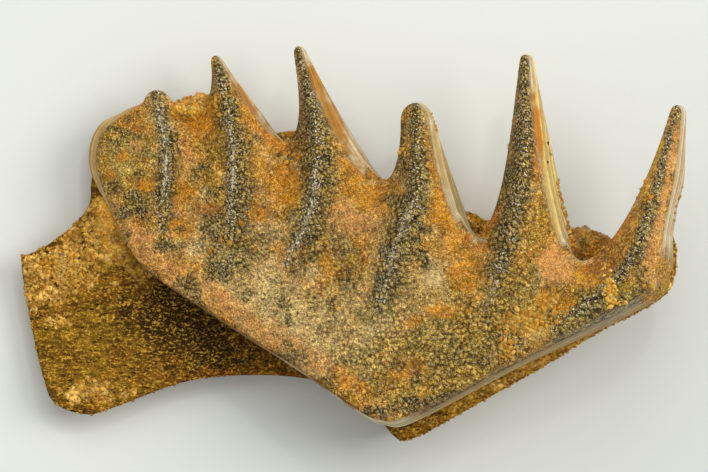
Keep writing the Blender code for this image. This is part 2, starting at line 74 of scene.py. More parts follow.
CREST_AT_TIP, CREST_FULL = 0.2, 0.42
NOTCHES = (
    ((13.0, -1.0), (1.9, 0.2), (-1.4, 0.4)),
    ((7.0, 0.4), (1.55, 0.6), (-1.1, 0.5)),
    ((1.9, 3.6), (0.6, 0.3), (-1.6, 0.7)),
    ((-3.9, 5.8), (1.35, 0.35), (-1.0, 0.7)),
    ((-9.4, 7.3), (1.4, 0.3), (-0.5, 0.2)),
)
BEVEL_WIDTHS = (0.0, 0.45, 0.45, 0.75, 0.25, 0.0)
BEVEL_AT_TIP, BEVEL_ENDS, BEVEL_DEPTH, BEVEL_BLEND, BEVEL_CLEAR = (0.55, 0.3), (0.8, 0.95), 0.4, 0.6, 0.35
NOTCH_DIP = (0.5, 2.2)
SHOULDER, SHOULDER_PULL = (-13.25, 7.3), (0.4, 0.35)
HEEL_EDGE = (
    (-14.4, 6.3), (-14.65, 4.6), (-14.05, 2.6), (-12.3, -0.9), (-7.8, -4.1), (-3.4, -6.9), (0.2, -9.4),
    (1.6, -10.0), (3.2, -9.75), (9.5, -6.4), (16.6, -2.8), (17.25, -1.9), (17.8, 1.1), (18.4, 4.2),
)
HEEL_DOME, HEEL_MIDDLE = (0.5, 9.0), (1.5, -5.0)
FRONT_CUT_END, BACK_CUT_END = (17.7, 1.6), (-14.2, 6.7)

# The jaw bone's shape, as in the solids.

BONE_EDGE = (
    (-18.35, -5.0), (-17.75, -7.5), (-17.1, -9.1), (-15.2, -9.75), (-13.7, -9.35), (-9.3, -7.8),
    (-4.7, -7.5), (-1.2, -8.0), (0.9, -9.1), (2.1, -10.7), (2.95, -11.25), (4.4, -10.65), (7.1, -9.15),
    (10.8, -7.05), (14.2, -4.95), (17.5, -3.2), (18.4, -1.9), (18.45, 0.1), (17.7, 1.2), (15.5, 0.6),
    (13.4, -0.1), (11.7, 0.7), (9.5, 2.4), (7.95, 1.35), (6.9, 1.8), (5.5, 2.3), (3.6, 3.9), (1.9, 3.4),
    (0.2, 4.5), (-1.9, 6.3), (-3.65, 6.5), (-5.5, 6.3), (-7.4, 7.7), (-9.4, 8.0), (-11.3, 7.6),
    (-13.7, 6.3), (-14.9, 4.0), (-15.05, 2.4), (-15.75, 1.35), (-16.6, 0.6), (-17.6, -0.1), (-18.6, -0.6),
    (-19.0, -1.05),
)
PROCESS_TOP, PROCESS_TROUGH, PROCESS_RIM = 2.3, (0.5, -4.2, 3.2), (0.35, 1.2)
BONE_STEP, INNER_EDGE, PROCESS_ENDS, RIM_FALL = (0.5, 2.4), ((-14.2, 2.6), (1.0, -9.8)), (-4.0, 0.5), 0.5
BODY_HOLLOW, FRONT_LIFT, UNDER_ROUND = 0.6, (2.4, 6.0, 18.5), (0.7, 1.0)
LEAST_BONE, BONE_TUCK, FOOT_FADE = 0.9, 0.45, 2.6
FEET = (
    ((-15.6, -6.8), (1.5, 1.2)), ((-12.2, 4.4), (1.5, 1.3)),
    ((4.6, -7.6), (1.7, 1.2)), ((9.0, -0.4), (1.6, 1.3)),
)

# Each lump of sandstone: node, middle, half size, turn, height, seed, its grains' colour, count and radii.
LUMPS = (
    ("sandstone_1_2", (13.1, -0.2), (1.9, 1.05), -0.15, 6.4, 3, (156, 104, 32), 420, (0.07, 0.14)),
    ("sandstone_5_6", (-9.2, 7.7), (1.6, 0.75), 0.3, 4.0, 11, (222, 152, 36), 260, (0.07, 0.15)),
    ("sandstone_heel", (-13.75, 0.85), (0.95, 1.9), 0.44, 3.2, 13, (232, 178, 62), 500, (0.05, 0.13)),
)

# How finely the meshes are made: points along the edges, levels down the sides, and triangles on the crown.
CROWN_SPACING, BONE_SPACING, SIDE_SPACING = 0.13, 0.16, 0.06
CROWN_LEVELS, BONE_LEVELS, LUMP_LEVELS = (np.linspace(0.0, 1.0, count)[1:-1] for count in (25, 13, 5))
TOP_STEP = 0.085
# Radii of the loose grains on the crown, on the bone and on the sides.
CROWN_GRAIN, BONE_GRAIN, SIDE_GRAIN = (0.07, 0.21), (0.05, 0.13), (0.06, 0.13)
CAMERA_HEIGHT = 1.2
RNG = np.random.default_rng(4828)


def px(x, y):
    """The place of one of the photograph's pixels."""
    return np.array(((x - PHOTO_ORIGIN[0]) / PX_PER_MM, (PHOTO_ORIGIN[1] - y) / PX_PER_MM))


def lengths(vectors):
    return np.linalg.norm(vectors, axis=-1)


def ease(low, high, value):
    """Rises smoothly from 0 to 1 as the value goes from low to high."""
    share = np.clip((value - low) / (high - low), 0.0, 1.0)
    return share * share * (3.0 - 2.0 * share)


def bezier(start, start_handle, end_handle, end, count=14):
    t = np.linspace(0.0, 1.0, count, endpoint=False)[:, None]
    start, start_handle, end_handle, end = np.array((start, start_handle, end_handle, end), float)
    s = 1.0 - t
    return s**3 * start + 3 * s**2 * t * start_handle + 3 * s * t**2 * end_handle + t**3 * end


def through(points, closed=False, per_span=8):
    """A smooth curve through the points."""
    p = np.array(points, float)
    if closed:
        p = np.vstack([p[-1:], p, p[:2]])
    else:
        p = np.vstack([2 * p[0] - p[1], p, 2 * p[-1] - p[-2]])
    t = np.linspace(0.0, 1.0, per_span, endpoint=False)[:, None]
    spans = [
        0.5 * (2 * b + (c - a) * t + (2 * a - 5 * b + 4 * c - d) * t**2 + (3 * b - a - 3 * c + d) * t**3)
        for a, b, c, d in zip(p, p[1:], p[2:], p[3:])
    ]
    return np.vstack(spans if closed else spans + [p[-2:-1]])


def evenly(loop, spacing):
    """The loop again, with its points evenly spaced."""
    closed = np.vstack([loop, loop[:1]])
    along = np.concatenate([[0.0], np.cumsum(lengths(np.diff(closed, axis=0)))])
    at = np.linspace(0.0, along[-1], max(8, round(along[-1] / spacing)), endpoint=False)
    return np.column_stack([np.interp(at, along, closed[:, k]) for k in (0, 1)])


def outward(loop):
    way = np.roll(loop, -1, axis=0) - np.roll(loop, 1, axis=0)
    normals = np.column_stack([way[:, 1], -way[:, 0]])
    return normals / lengths(normals)[:, None]


def soft_outward(loop, reach):
    """Normals averaged over this many points to each side, so that an inset loop has no crossings."""
    normals = sum(np.roll(outward(loop), k, axis=0) for k in range(-reach, reach + 1))
    return normals / (2 * reach + 1)


def in_blocks(function, xy, size=6000):
    """The function's results for many points, worked out a block at a time to spare memory."""
    parts = [function(xy[k : k + size]) for k in range(0, len(xy), size)]
    if isinstance(parts[0], tuple):
        return tuple(np.concatenate(column) for column in zip(*parts))
    return np.concatenate(parts)


def line_distance(xy, line):
    """How far each point is from the line, at what share of its length, and on which side, 1 for left."""
    def block(xy):
        a, run = line[:-1], np.diff(line, axis=0)
        length = lengths(run)
        before = np.concatenate([[0.0], np.cumsum(length)])
        t = np.einsum("ijk,jk->ij", xy[:, None] - a[None], run) / np.maximum(length**2, 1e-12)
        t = np.clip(t, 0.0, 1.0)
        apart = lengths(xy[:, None] - (a[None] + t[..., None] * run[None]))
        nearest = apart.argmin(axis=1)
        rows = np.arange(len(xy))
        share = (before[nearest] + t[rows, nearest] * length[nearest]) / before[-1]
        side = run[nearest, 0] * (xy[:, 1] - a[nearest, 1]) - run[nearest, 1] * (xy[:, 0] - a[nearest, 0])
        return apart[rows, nearest], share, np.sign(side)

    return in_blocks(block, xy)


def edge_distance(xy, loop):
    return line_distance(xy, np.vstack([loop, loop[:1]]))[0]


def inside(xy, loop):
    def block(xy):
        a, b = loop, np.roll(loop, -1, axis=0)
        x, y = xy[:, :1], xy[:, 1:]
        spans = (a[:, 1] > y) != (b[:, 1] > y)
        rise = np.where(b[:, 1] == a[:, 1], 1e-12, b[:, 1] - a[:, 1])
        crossing = x < a[:, 0] + (y - a[:, 1]) * (b[:, 0] - a[:, 0]) / rise
        return (spans & crossing).sum(axis=1) % 2 == 1

    return in_blocks(block, xy)


def tip_arc(ridge):
    crest = np.array(ridge[0])
    axis = (crest[0] - crest[1]) / np.linalg.norm(crest[0] - crest[1])
    radius = ridge[1] / 2
    middle = crest[0] - axis * radius
    angles = math.atan2(axis[1], axis[0]) - math.pi / 2 + np.linspace(0.0, math.pi, 5)
    return middle + radius * np.column_stack([np.cos(angles), np.sin(angles)])


def flank(ridge, tip_side, pull, notch, handle):
    start = tip_arc(ridge)[tip_side]
    return bezier(start, start + pull, np.add(notch, handle), notch)


def crown_outline(spacing):
    pieces = []
    for k, ridge in enumerate(RIDGES):
        pieces.append(tip_arc(ridge))
        if k == len(RIDGES) - 1:
            pieces.append(flank(ridge, -1, ridge[2], SHOULDER, SHOULDER_PULL)[1:])
            break
        (at, to_right, to_left), after = NOTCHES[k], RIDGES[k + 1]
        pieces.append(flank(ridge, -1, ridge[2], at, to_right)[1:])
        pieces.append(np.vstack([[at], flank(after, 0, after[3], at, to_left)[1:][::-1]]))
    pieces.append(through((SHOULDER, *HEEL_EDGE, tip_arc(RIDGES[0])[0]))[:-1])
    return evenly(np.vstack(pieces), spacing)


CROWN_EDGE = crown_outline(0.42)
CRESTS = [through(ridge[0], per_span=6) for ridge in RIDGES]
BONE_LOOP = evenly(through(BONE_EDGE, closed=True), 0.55)


def plane_height(xy):
    away = xy - PIVOT
    return PIVOT_HEIGHT + LEAN * (away[:, 0] * math.cos(HEADING) + away[:, 1] * math.sin(HEADING))


def beyond(xy, k):
    """How far out on cusp k each point is, past the line between the notches beside it."""
    right = np.array(FRONT_CUT_END if k == 0 else NOTCHES[k - 1][0])
    left = np.array(BACK_CUT_END if k == len(RIDGES) - 1 else NOTCHES[k][0])
    run = (left - right) / np.linalg.norm(left - right)
    return (xy - right) @ np.array([run[1], -run[0]])


def to_crests(xy):
    return [line_distance(xy, crest) for crest in CRESTS]


def crown_thickness(xy, crests):
    (x0, thin), (x1, thick) = THIN_END, THICK_END
    full = thin + (thick - thin) * (xy[:, 0] - x0) / (x1 - x0)
    nearest = np.array([apart for apart, _, _ in crests]).argmin(axis=0)
    out = np.zeros(len(xy))
    for k, ridge in enumerate(RIDGES):
        length = beyond(np.array([ridge[0][0]]), k)[0]
        out[nearest == k] = np.clip(beyond(xy[nearest == k], k) / length, 0.0, 1.0)
    return full * (1.0 - (1.0 - TIP_THICKNESS) * out)


def crown_floor(xy):
    return plane_height(xy) - crown_thickness(xy, to_crests(xy))


def bevel(xy, crests):
    """How far down the bevel on each ridge's right side a point is, from 0 at its upper edge to 1."""
    from_edge = edge_distance(xy, CROWN_EDGE)
    down = np.zeros(len(xy))
    for k, width in enumerate(BEVEL_WIDTHS):
        if width == 0.0:
            continue
        apart, share, side = crests[k]
        start, full = BEVEL_AT_TIP
        reach = width * (start + (1 - start) * ease(0.0, full, share))
        own = ease(-BEVEL_BLEND, BEVEL_BLEND, crests[k - 1][0] - apart)
        own *= ease(0.0, BEVEL_CLEAR, apart) * (1.0 - ease(*BEVEL_ENDS, share))
        down = np.maximum(down, np.where(side > 0, own * np.clip(1.0 - from_edge / reach, 0.0, 1.0), 0.0))
    return down


def crown_face(xy, crests):
    height = plane_height(xy)
    for ridge, (apart, share, _) in zip(RIDGES, crests):
        swell = CREST_AT_TIP + (1 - CREST_AT_TIP) * ease(0.0, CREST_FULL, share)
        fade = 1.0 - ease(CREST_FULL, 1.0, share)
        width = ridge[5] * (0.3 + 0.7 * ease(0.0, 0.6, share))
        height += ridge[4] * swell * fade * np.exp(-((apart / width) ** 1.4))
    for at, _, _ in NOTCHES:
        away = lengths(xy - at)
        height -= NOTCH_DIP[0] * np.exp(-((away / NOTCH_DIP[1]) ** 2))
    from_heel = lengths(xy - HEEL_MIDDLE)
    height += HEEL_DOME[0] * np.exp(-((from_heel / HEEL_DOME[1]) ** 2))
    return height - EDGE_ROLL[0] * np.exp(-edge_distance(xy, CROWN_EDGE) / EDGE_ROLL[1])


def crown_drop(xy, crests):
    """How much the bevels take off the biting face."""
    return BEVEL_DEPTH * crown_thickness(xy, crests) * bevel(xy, crests)


def crown_top(xy):
    crests = to_crests(xy)
    return crown_face(xy, crests) - crown_drop(xy, crests)


def crown_foot(loop):
    """Where the crown's wall meets its underside, below each point of its edge."""
    lean = LEAN * np.array([math.cos(HEADING), math.sin(HEADING)])
    straight = np.array([notch[0] for notch in NOTCHES] + [FRONT_CUT_END, BACK_CUT_END])
    away = lengths(loop[:, None] - straight[None]).min(axis=1)
    more, heel, reach = HEEL_FLARE
    share = FLARE * ease(*FLARE_CLEAR, away)
    share += more * np.exp(-((lengths(loop - heel) / reach) ** 2))
    height = crown_face(loop, to_crests(loop)) - crown_floor(loop)
    return loop + height[:, None] * (lean + share[:, None] * outward(loop))


def beyond_crown(xy):
    """How far outside the crown's edge each point is, negative inside it."""
    return edge_distance(xy, CROWN_EDGE) * np.where(inside(xy, CROWN_EDGE), -1.0, 1.0)


def bone_top(xy):
    outside = np.maximum(beyond_crown(xy), 0.0)
    under_crown = crown_floor(xy) - GAP
    depth, y_middle, half_width = PROCESS_TROUGH
    process = PROCESS_TOP - depth * np.exp(-(((xy[:, 1] - y_middle) / half_width) ** 2))
    process -= PROCESS_RIM[0] * np.exp(-edge_distance(xy, BONE_LOOP) / PROCESS_RIM[1])
    process = np.minimum(process, under_crown + outside)
    start, end = np.array(INNER_EDGE)
    run = (end - start) / np.linalg.norm(end - start)
    within = (xy - start) @ np.array([-run[1], run[0]])
    on_process = (1.0 - ease(*BONE_STEP, within)) * (1.0 - ease(*PROCESS_ENDS, xy[:, 0]))
    rim = under_crown - RIM_FALL * outside
    return rim + on_process * (process - rim)


def bone_under(xy):
    lift, x0, x1 = FRONT_LIFT
    height = BODY_HOLLOW + lift * ease(x0, x1, xy[:, 0])
    aways = [lengths((xy - middle) / half) for middle, half in FEET]
    for away in aways:
        height = height * ease(1.0, FOOT_FADE, away)
    edge = UNDER_ROUND[0] * np.exp(-edge_distance(xy, BONE_LOOP) / UNDER_ROUND[1])
    height = height + edge * ease(1.0, 1.6, np.min(aways, axis=0))
    return np.minimum(height, bone_top(xy) - LEAST_BONE)


# Meshes.


def waves(points, size, octaves=3, seed=0.0):
    """Smooth noise between about -1 and 1 at each point, for places in two or three dimensions."""
    flat = np.column_stack([points, np.zeros((len(points), 3 - points.shape[1]))]) / size + seed
    return np.array([noise.fractal(p, 1.0, 2.0, octaves) for p in flat.tolist()])


def cap(loop, step, fine=None):
    """Triangles that fill the loop, as (points, faces), its own points first. Where fine(xy) is given and
    False, only one point in nine is kept."""
    count = len(loop)
    (x0, y0), (x1, y1) = loop.min(axis=0), loop.max(axis=0)
    rows = np.arange(y0, y1, step * math.sqrt(3) / 2)
    columns = np.arange(x0, x1, step)
    grid = np.array([(x + step / 2 * (k % 2), y) for k, y in enumerate(rows) for x in columns])
    if fine is not None:
        index = np.arange(len(grid))
        sparse = ((index // len(columns)) % 3 == 0) & ((index % len(columns)) % 3 == 0)
        grid = grid[sparse | fine(grid)]
    grid = grid[inside(grid, loop)]
    grid = grid[edge_distance(grid, loop) > 0.6 * step]
    flat = np.vstack([loop, grid])
    edges = [(k, (k + 1) % count) for k in range(count)]
    _, _, faces, came_from, _, _ = delaunay_2d_cdt([Vector(p) for p in flat], edges, [], 1, 1e-6)
    number = [min(sources) for sources in came_from]
    return flat, [[number[k] for k in face] for face in faces]


def slab(loop, top, foot, under, top_step, under_step, levels, fine=None):
    """A body with a top and an underside: vertices, faces and each vertex's depth below the top's edge."""
    upper_xy, upper_faces = cap(loop, top_step, fine)
    lower_xy, lower_faces = cap(foot, under_step)
    upper = np.column_stack([upper_xy, top(upper_xy)])
    lower = np.column_stack([lower_xy, under(lower_xy)])
    count = len(loop)
    rings = [upper[:count] + share * (lower[:count] - upper[:count]) for share in levels]
    vertices = np.vstack([upper, *rings, lower])
    starts = [0] + [len(upper) + k * count for k in range(len(rings) + 1)]
    drop = upper[:count, 2] - lower[:count, 2]
    depth = np.zeros(len(vertices))
    for start, share in zip(starts[1:], (*levels, 1.0)):
        depth[start : start + count] = share * drop
    faces = [list(face) for face in upper_faces]
    for high, low in zip(starts, starts[1:]):
        faces += [[high + k, low + k, low + (k + 1) % count, high + (k + 1) % count] for k in range(count)]
    faces += [[starts[-1] + k for k in reversed(face)] for face in lower_faces]
    return vertices, faces, depth


def added(name, data, location=(0.0, 0.0, 0.0)):
    made = bpy.data.objects.new(name, data)
    made.location = location
    bpy.context.scene.collection.objects.link(made)
    return made


def make(name, vertices, faces, look, slot, nodes=(), **attributes):
    """One piece of the model, riding on the body. Each attribute is a number or a colour for each vertex."""
    mesh = bpy.data.meshes.new(name)
    mesh.from_pydata((vertices * MM).tolist(), [], faces)
    mesh.materials.append(look)
    mesh.polygons.foreach_set("use_smooth", [True] * len(mesh.polygons))
    for key, values in attributes.items():
        if values.ndim == 1:
            mesh.attributes.new(key, "FLOAT", "POINT").data.foreach_set("value", values)
        else:
            rgba = np.column_stack([values, np.ones(len(values))])
            mesh.attributes.new(key, "FLOAT_COLOR", "POINT").data.foreach_set("color", rgba.ravel())
    made = added(name, mesh)
    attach(made, "root")
    if nodes:
        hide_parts(*nodes)
    return made


# Materials.


def linear(*srgb):
    """A colour given as on the screen, 0 to 255, as the light values that shaders take."""
    share = np.array(srgb, float) / 255.0
    return np.where(share <= 0.04045, share / 12.92, ((share + 0.055) / 1.055) ** 2.4)


class Look:
    """A material and short ways to add nodes to it."""

    def __init__(self, name):
        self.material = bpy.data.materials.new(name)
        self.material.use_nodes = True
        self.tree = self.material.node_tree
        self.place = self.node("TexCoord", {}, "Object")

    def feed(self, socket, value):
        """Links or sets a socket. A string stands for what the vertices carry under that name."""
        if isinstance(value, str):
            output = "Color" if socket.type == "RGBA" else "Fac"
            value = self.node("Attribute", {}, output, attribute_name=value)
        if isinstance(value, bpy.types.NodeSocket):
            self.tree.links.new(value, socket)
        elif value is not None:
            socket.default_value = value

    def node(self, kind, inputs, output=0, **settings):
        """One output of a new node. The inputs are given by number or name."""
        made = self.tree.nodes.new("ShaderNode" + kind)
        for key, value in settings.items():
            setattr(made, key, value)
        for key, value in inputs.items():
            self.feed(made.inputs[key], value)
        return made.outputs[output]

    def math(self, operation, *values):
        return self.node("Math", dict(enumerate(values)), operation=operation)

    def times(self, a, b, plus=None):
        """a times b, and then plus."""
        return self.math("MULTIPLY" if plus is None else "MULTIPLY_ADD", a, b, plus)

    def ramp(self, *numbers, smooth=True):
        """A value from low to high, drawn to lie between 0 and 1 or the last two numbers."""
        kind = "SMOOTHSTEP" if smooth else "LINEAR"
        return self.node("MapRange", dict(enumerate(numbers)), interpolation_type=kind)

    def scaled(self, x, y, z, source=None):
        return self.node("Mapping", {"Vector": source or self.place, "Scale": (x, y, z)})

    def tilted(self, source):
        """Coordinates turned so that a flat pattern in them isn't drawn out on level or upright surfaces."""
        return self.node("Mapping", {"Vector": source, "Rotation": (0.42, 0.42, 0.0)})

    def warped(self, per_mm, shift_mm):
        """The surface's own coordinates, moved about by noise."""
        swirl = self.node("TexNoise", {"Vector": self.place, "Scale": per_mm / MM}, "Color")
        inputs = {0: swirl, 1: (shift_mm * MM,) * 3, 2: self.place}
        return self.node("VectorMath", inputs, operation="MULTIPLY_ADD")

    def noise(self, per_mm, detail=3.0, roughness=0.55, vector=None):
        """Clouds, this many in a millimetre, or in one unit of the vector."""
        inputs = {"Vector": vector or self.place, "Scale": per_mm if vector else per_mm / MM}
        return self.node("TexNoise", {**inputs, "Detail": detail, "Roughness": roughness}, "Fac")

    def cells(self, scale, randomness, vector, output="Distance", flat=False):
        inputs = {"Vector": vector, "Scale": scale, "Randomness": randomness}
        return self.node("TexVoronoi", inputs, output, voronoi_dimensions="2D" if flat else "3D")

    def mix(self, share, a, b, mode="MIX"):
        """A colour between two others. A tuple is a colour as on the screen."""
        a, b = ((*linear(*c), 1.0) if isinstance(c, tuple) else c for c in (a, b))
        settings = {"data_type": "RGBA", "blend_type": mode, "clamp_factor": True}
        return self.node("Mix", {0: share, 6: a, 7: b}, 2, **settings)

    def tinted(self, colour, *shares):
        """A colour with only these shares of its red, green and blue."""
        return self.mix(1.0, colour, [*shares, 1.0], "MULTIPLY")

    def blend(self, share, a, b):
        """A number between two others."""
        return self.node("Mix", {0: share, 2: a, 3: b}, data_type="FLOAT")

    def scaled_by(self, colour, value):
        """A colour made darker or lighter by a number."""
        return self.node("VectorMath", {0: colour, "Scale": value}, operation="SCALE")

    def bump(self, height, strength, distance_mm):
        return self.node("Bump", {"Height": height, "Strength": strength, "Distance": distance_mm * MM})

    def finish(self, colour, normal=None, roughness=0.5, specular=0.5, **others):
        shader = self.tree.nodes["Principled BSDF"].inputs
        others.update({"Base Color": colour, "Normal": normal, "Roughness": roughness})
        for name, value in {**others, "Specular IOR Level": specular}.items():
            self.feed(shader[name], value)
        return self.material


COLOURS = {
    "dark": (98, 80, 28), "tan": (190, 140, 50), "orange": (212, 138, 26), "rust": (184, 108, 30),
    "pink": (222, 158, 92), "cream": (214, 190, 142), "burnt": (206, 118, 14), "olive": (166, 136, 44),
    "yellow": (220, 168, 60), "golden": (214, 156, 50), "umber": (84, 56, 16), "moss": (176, 138, 40),
    "amber": (206, 142, 40), "flank": (136, 92, 18), "sulphur": (232, 204, 110), "shell": (226, 214, 180),
    "wheat": (232, 204, 126), "lilac": (168, 148, 116), "straw": (186, 158, 98), "blush": (212, 180, 136),
    "ochre": (186, 130, 44), "sand": (206, 178, 118), "heel": (216, 176, 104), "brown": (150, 104, 30),
}
PALETTE = {name: linear(*srgb) for name, srgb in COLOURS.items()}


def dotted(look, speck, grit):
    """The stain with pale dots in a dark network, the dots alone, and the uneven pattern they come from."""
    place = look.tilted(look.warped(2.5, 0.14))
    coarse = look.cells(3700.0, 0.72, place, flat=True)
    shade = look.cells(3700.0, 0.72, place, "Color", flat=True)
    spread = look.blend("small", coarse, look.cells(5400.0, 0.95, place, flat=True))
    uneven = look.times(speck, 0.6, look.times(grit, 0.35, look.math("SUBTRACT", spread, 0.475)))
    dot = look.ramp(uneven, look.times("dark", -0.08, 0.32), 0.5, 1.0, 0.0)
    shadow = look.mix("dark", look.tinted("stain", 0.32, 0.24, 0.14), (52, 39, 13))
    pale = look.mix(look.times("dark", 0.24, 0.2), "stain", (204, 170, 84))
    grey = look.times("dark", look.ramp(look.noise(2.4, 2.0, 0.7), 0.42, 0.58, 0.1, 0.7))
    pale = look.mix(grey, pale, (148, 134, 76))
    pale = look.mix(1.0, pale, look.ramp(shade, 0.2, 0.8, 0.5, 1.3, smooth=False), "MULTIPLY")
    return look.mix("dots", "stain", look.mix(dot, shadow, pale)), dot, uneven


def speckled(look, colour, speck, patterns):
    """Dark and pale specks, and larger darker and paler places, all fainter where the stain is plain."""
    calm = look.times("plain", -0.65, 1.0)
    low = look.times(calm, look.ramp(speck, 0.38, 0.47, 0.85, 0.0))
    high = look.times(calm, look.ramp(speck, 0.54, 0.62, 0.0, 0.7))
    high = look.times(high, look.times("dark", -0.65, 1.0))
    colour = look.mix(low, colour, look.tinted(colour, 0.26, 0.21, 0.16))
    colour = look.mix(high, colour, (234, 206, 118))
    fade = look.times("plain", look.ramp(look.noise(3.0, 3.0, 0.65), 0.35, 0.65, 0.1, 0.5))
    colour = look.mix(fade, colour, "stain")
    for pattern, darkest, brightest in patterns:
        least = look.times("plain", 0.54 - darkest, darkest)
        most = look.times("plain", 1.54 - brightest, brightest)
        colour = look.scaled_by(colour, look.ramp(pattern, 0.3, 0.7, least, most, smooth=False))
    return colour


def crested(look, colour, uneven):
    """The crests: a paler strip and a pale line, both partly wear and partly painted highlight, and painted
    glints that gather there.
    """
    across = look.math("SUBTRACT", "across", 0.18)
    off = look.math("ABSOLUTE", look.times(look.noise(1.7, 2.0), 0.36, across))
    # paler strip along the crest: partly paler dentine, partly painted highlight
    strip = look.times("line", look.ramp(off, 0.08, 0.4, 0.25, 0.0))
    strip = look.times(strip, look.ramp(uneven, 0.2, 0.6, 1.0, 0.05))
    colour = look.mix(strip, colour, (212, 200, 168))
    # the pale line on the crest: partly wear, partly painted highlight
    wear_and_highlight = look.times(look.ramp(off, 0.02, 0.1, 1.0, 0.0), look.ramp(look.noise(5.5, 2.0, 0.7), 0.52, 0.56))
    colour = look.mix(look.times(wear_and_highlight, "line"), colour, (244, 232, 208))
    # painted glints: white specks that gather near the crests
    bright = look.times(look.times("dark", 0.7, 0.3), look.ramp(off, 0.15, 0.6, 1.0, 0.5))
    glint = look.times(bright, look.ramp(look.noise(9.5, 1.0, 0.5), 0.62, 0.65, 0.0, 0.95))
    return look.mix(glint, colour, (238, 226, 198))


def layered(look, mottle):
    """The walls' and bevels' colour, with growth lines that follow the edge, and the lines alone."""
    along = look.times("depth", 8.0, look.times(look.noise(0.5, 3.0), 2.2))
    place = look.node("CombineXYZ", {0: along})
    lines = look.noise(1.0, 3.0, 0.65, place)
    wall = look.mix(look.ramp(lines, 0.4, 0.6), look.tinted("stain", 0.66, 0.56, 0.42), "stain")
    blotch = look.ramp(look.noise(0.9, 4.0, 0.7), 0.55, 0.68, 0.0, 0.5)
    wall = look.mix(blotch, wall, (186, 134, 62))
    wall = look.scaled_by(wall, look.ramp(mottle, 0.3, 0.7, 0.8, 1.2, smooth=False))
    broad = look.noise(0.2, 2.0, 0.6, place)
    return look.scaled_by(wall, look.ramp(broad, 0.38, 0.62, 0.72, 1.22)), lines


def crown_look():
    """Dentine: a speckled biting face that shows wear, with chipped brown edges, painted highlights and
    glints along the crests, and smooth walls and bevels.
    """
    look = Look("dentine")
    speck, grit, mottle = look.noise(6.2, 3.0, 0.8), look.noise(13.0, 2.0, 0.8), look.noise(1.5, 4.0, 0.85)
    colour, dot, uneven = dotted(look, speck, grit)
    colour = speckled(look, colour, speck, ((mottle, 0.36, 1.74), (grit, 0.26, 1.92)))
    colour = crested(look, colour, uneven)
    chips = look.times("rim", look.ramp(look.noise(2.6, 4.0, 0.7), 0.38, 0.56))
    colour = look.mix(chips, colour, look.tinted(colour, 0.4, 0.27, 0.16))
    wall, lines = layered(look, mottle)
    height = look.times(mottle, 3.0, look.times(grit, 0.9, look.times(dot, 0.5)))
    normal = look.bump(look.blend("side", height, look.times(lines, 0.7)), 0.9, 0.07)
    rough = look.blend("side", look.ramp(look.noise(8.0, 2.0), 0.4, 0.6, 0.1, 0.5), 0.6)
    return look.finish(look.mix("side", colour, wall), normal, rough, specular=0.12)


def crusted(look):
    """The colour of the sandstone that clings to the bone, and its lumps."""
    swollen = look.warped(2.4, 0.5)
    lumps = look.cells(3300.0, 1.0, swollen)
    tone = look.ramp(look.cells(3300.0, 1.0, swollen, "Color"), 0.2, 0.8, 0.7, 1.2, smooth=False)
    grain = look.mix(look.ramp(look.noise(1.2, 4.0, 0.7), 0.35, 0.65), (252, 202, 106), (200, 142, 40))
    grain = look.mix(look.ramp(lumps, 0.42, 0.7, 0.0, 0.75), look.scaled_by(grain, tone), (132, 88, 26))
    grain = look.scaled_by(grain, look.ramp(look.noise(1.0, 4.0, 0.75), 0.35, 0.65, 0.62, 1.4, smooth=False))
    pits = look.ramp(look.noise(4.5, 3.0, 0.7), 0.36, 0.44, 1.0, 0.0)
    return look.mix(pits, grain, (66, 42, 10)), lumps


def bone_look():
    """Fossil bone: golden brown and granular, with short dark pores, yellow grains and a crust."""
    look = Look("bone")
    streak = look.noise(1.0, 3.0, 0.7, look.scaled(1700.0, 4200.0, 3000.0))
    fine = look.noise(1.0, 2.0, 0.7, look.scaled(5600.0, 8000.0, 7000.0))
    place = look.scaled(2300.0, 4600.0, 3400.0, look.warped(1.2, 0.3))
    colour = look.mix(look.ramp(streak, 0.36, 0.62), look.tinted("stain", 0.4, 0.34, 0.28), "stain")
    bright = look.times(look.ramp(fine, 0.5, 0.64), look.ramp(streak, 0.4, 0.6, 0.3, 1.0))
    colour = look.mix(bright, colour, (226, 178, 64))
    some = look.ramp(look.cells(1.0, 1.0, place, "Color"), 0.5, 0.62)
    pore = look.times(look.ramp(look.cells(1.0, 1.0, place), 0.16, 0.34, 1.0, 0.0), some)
    colour = look.mix(look.times(pore, 0.75), colour, (50, 36, 14))
    crust, lumps = crusted(look)
    thick = look.math("SUBTRACT", "crust", 0.4)
    cover = look.ramp(look.times(look.noise(2.5, 4.0, 0.7), 0.8, thick), 0.35, 0.55)
    height = look.math("SUBTRACT", look.times(fine, 0.8, streak), pore)
    height = look.blend(cover, height, look.times(lumps, -1.6, 1.6))
    return look.finish(look.mix(cover, colour, crust), look.bump(height, 0.9, 0.12), specular=0.1)


def grain_look():
    """Sand grains: clear to milky quartz, stained yellow and orange, each grain its own tint."""
    look = Look("sandstone")
    dirt = look.times(look.ramp(look.noise(6.0, 3.0), 0.45, 0.7), 0.45)
    colour = look.mix(dirt, "tint", look.tinted("tint", 0.5, 0.4, 0.28))
    glow = {"Subsurface Weight": 0.25, "Subsurface Radius": (0.6, 0.35, 0.15), "Subsurface Scale": 0.3 * MM}
    normal = look.bump(look.noise(12.0, 3.0), 0.5, 0.03)
    return look.finish(colour, normal, roughness=0.38, specular=0.3, **glow)


# The crown.


def turned(points, angle):
    """Points turned clockwise, by radians."""
    c, s = math.cos(angle), math.sin(angle)
    return points @ np.array([[c, -s], [s, c]])


def patch(xy, x, y, width, height, turn):
    """How strongly an oval patch covers each point, with an edge that noise makes ragged."""
    away = turned((xy - px(x, y)) * PX_PER_MM, math.radians(turn))
    share = lengths(away / (width, height))
    near = share < 2.6
    share[near] += 0.7 * waves(xy[near], 1.1, 5, 5.0 + 0.013 * x) + 0.3 * waves(xy[near], 0.3, 3, 8.0)
    return 1.0 - ease(0.5, 1.35, share)


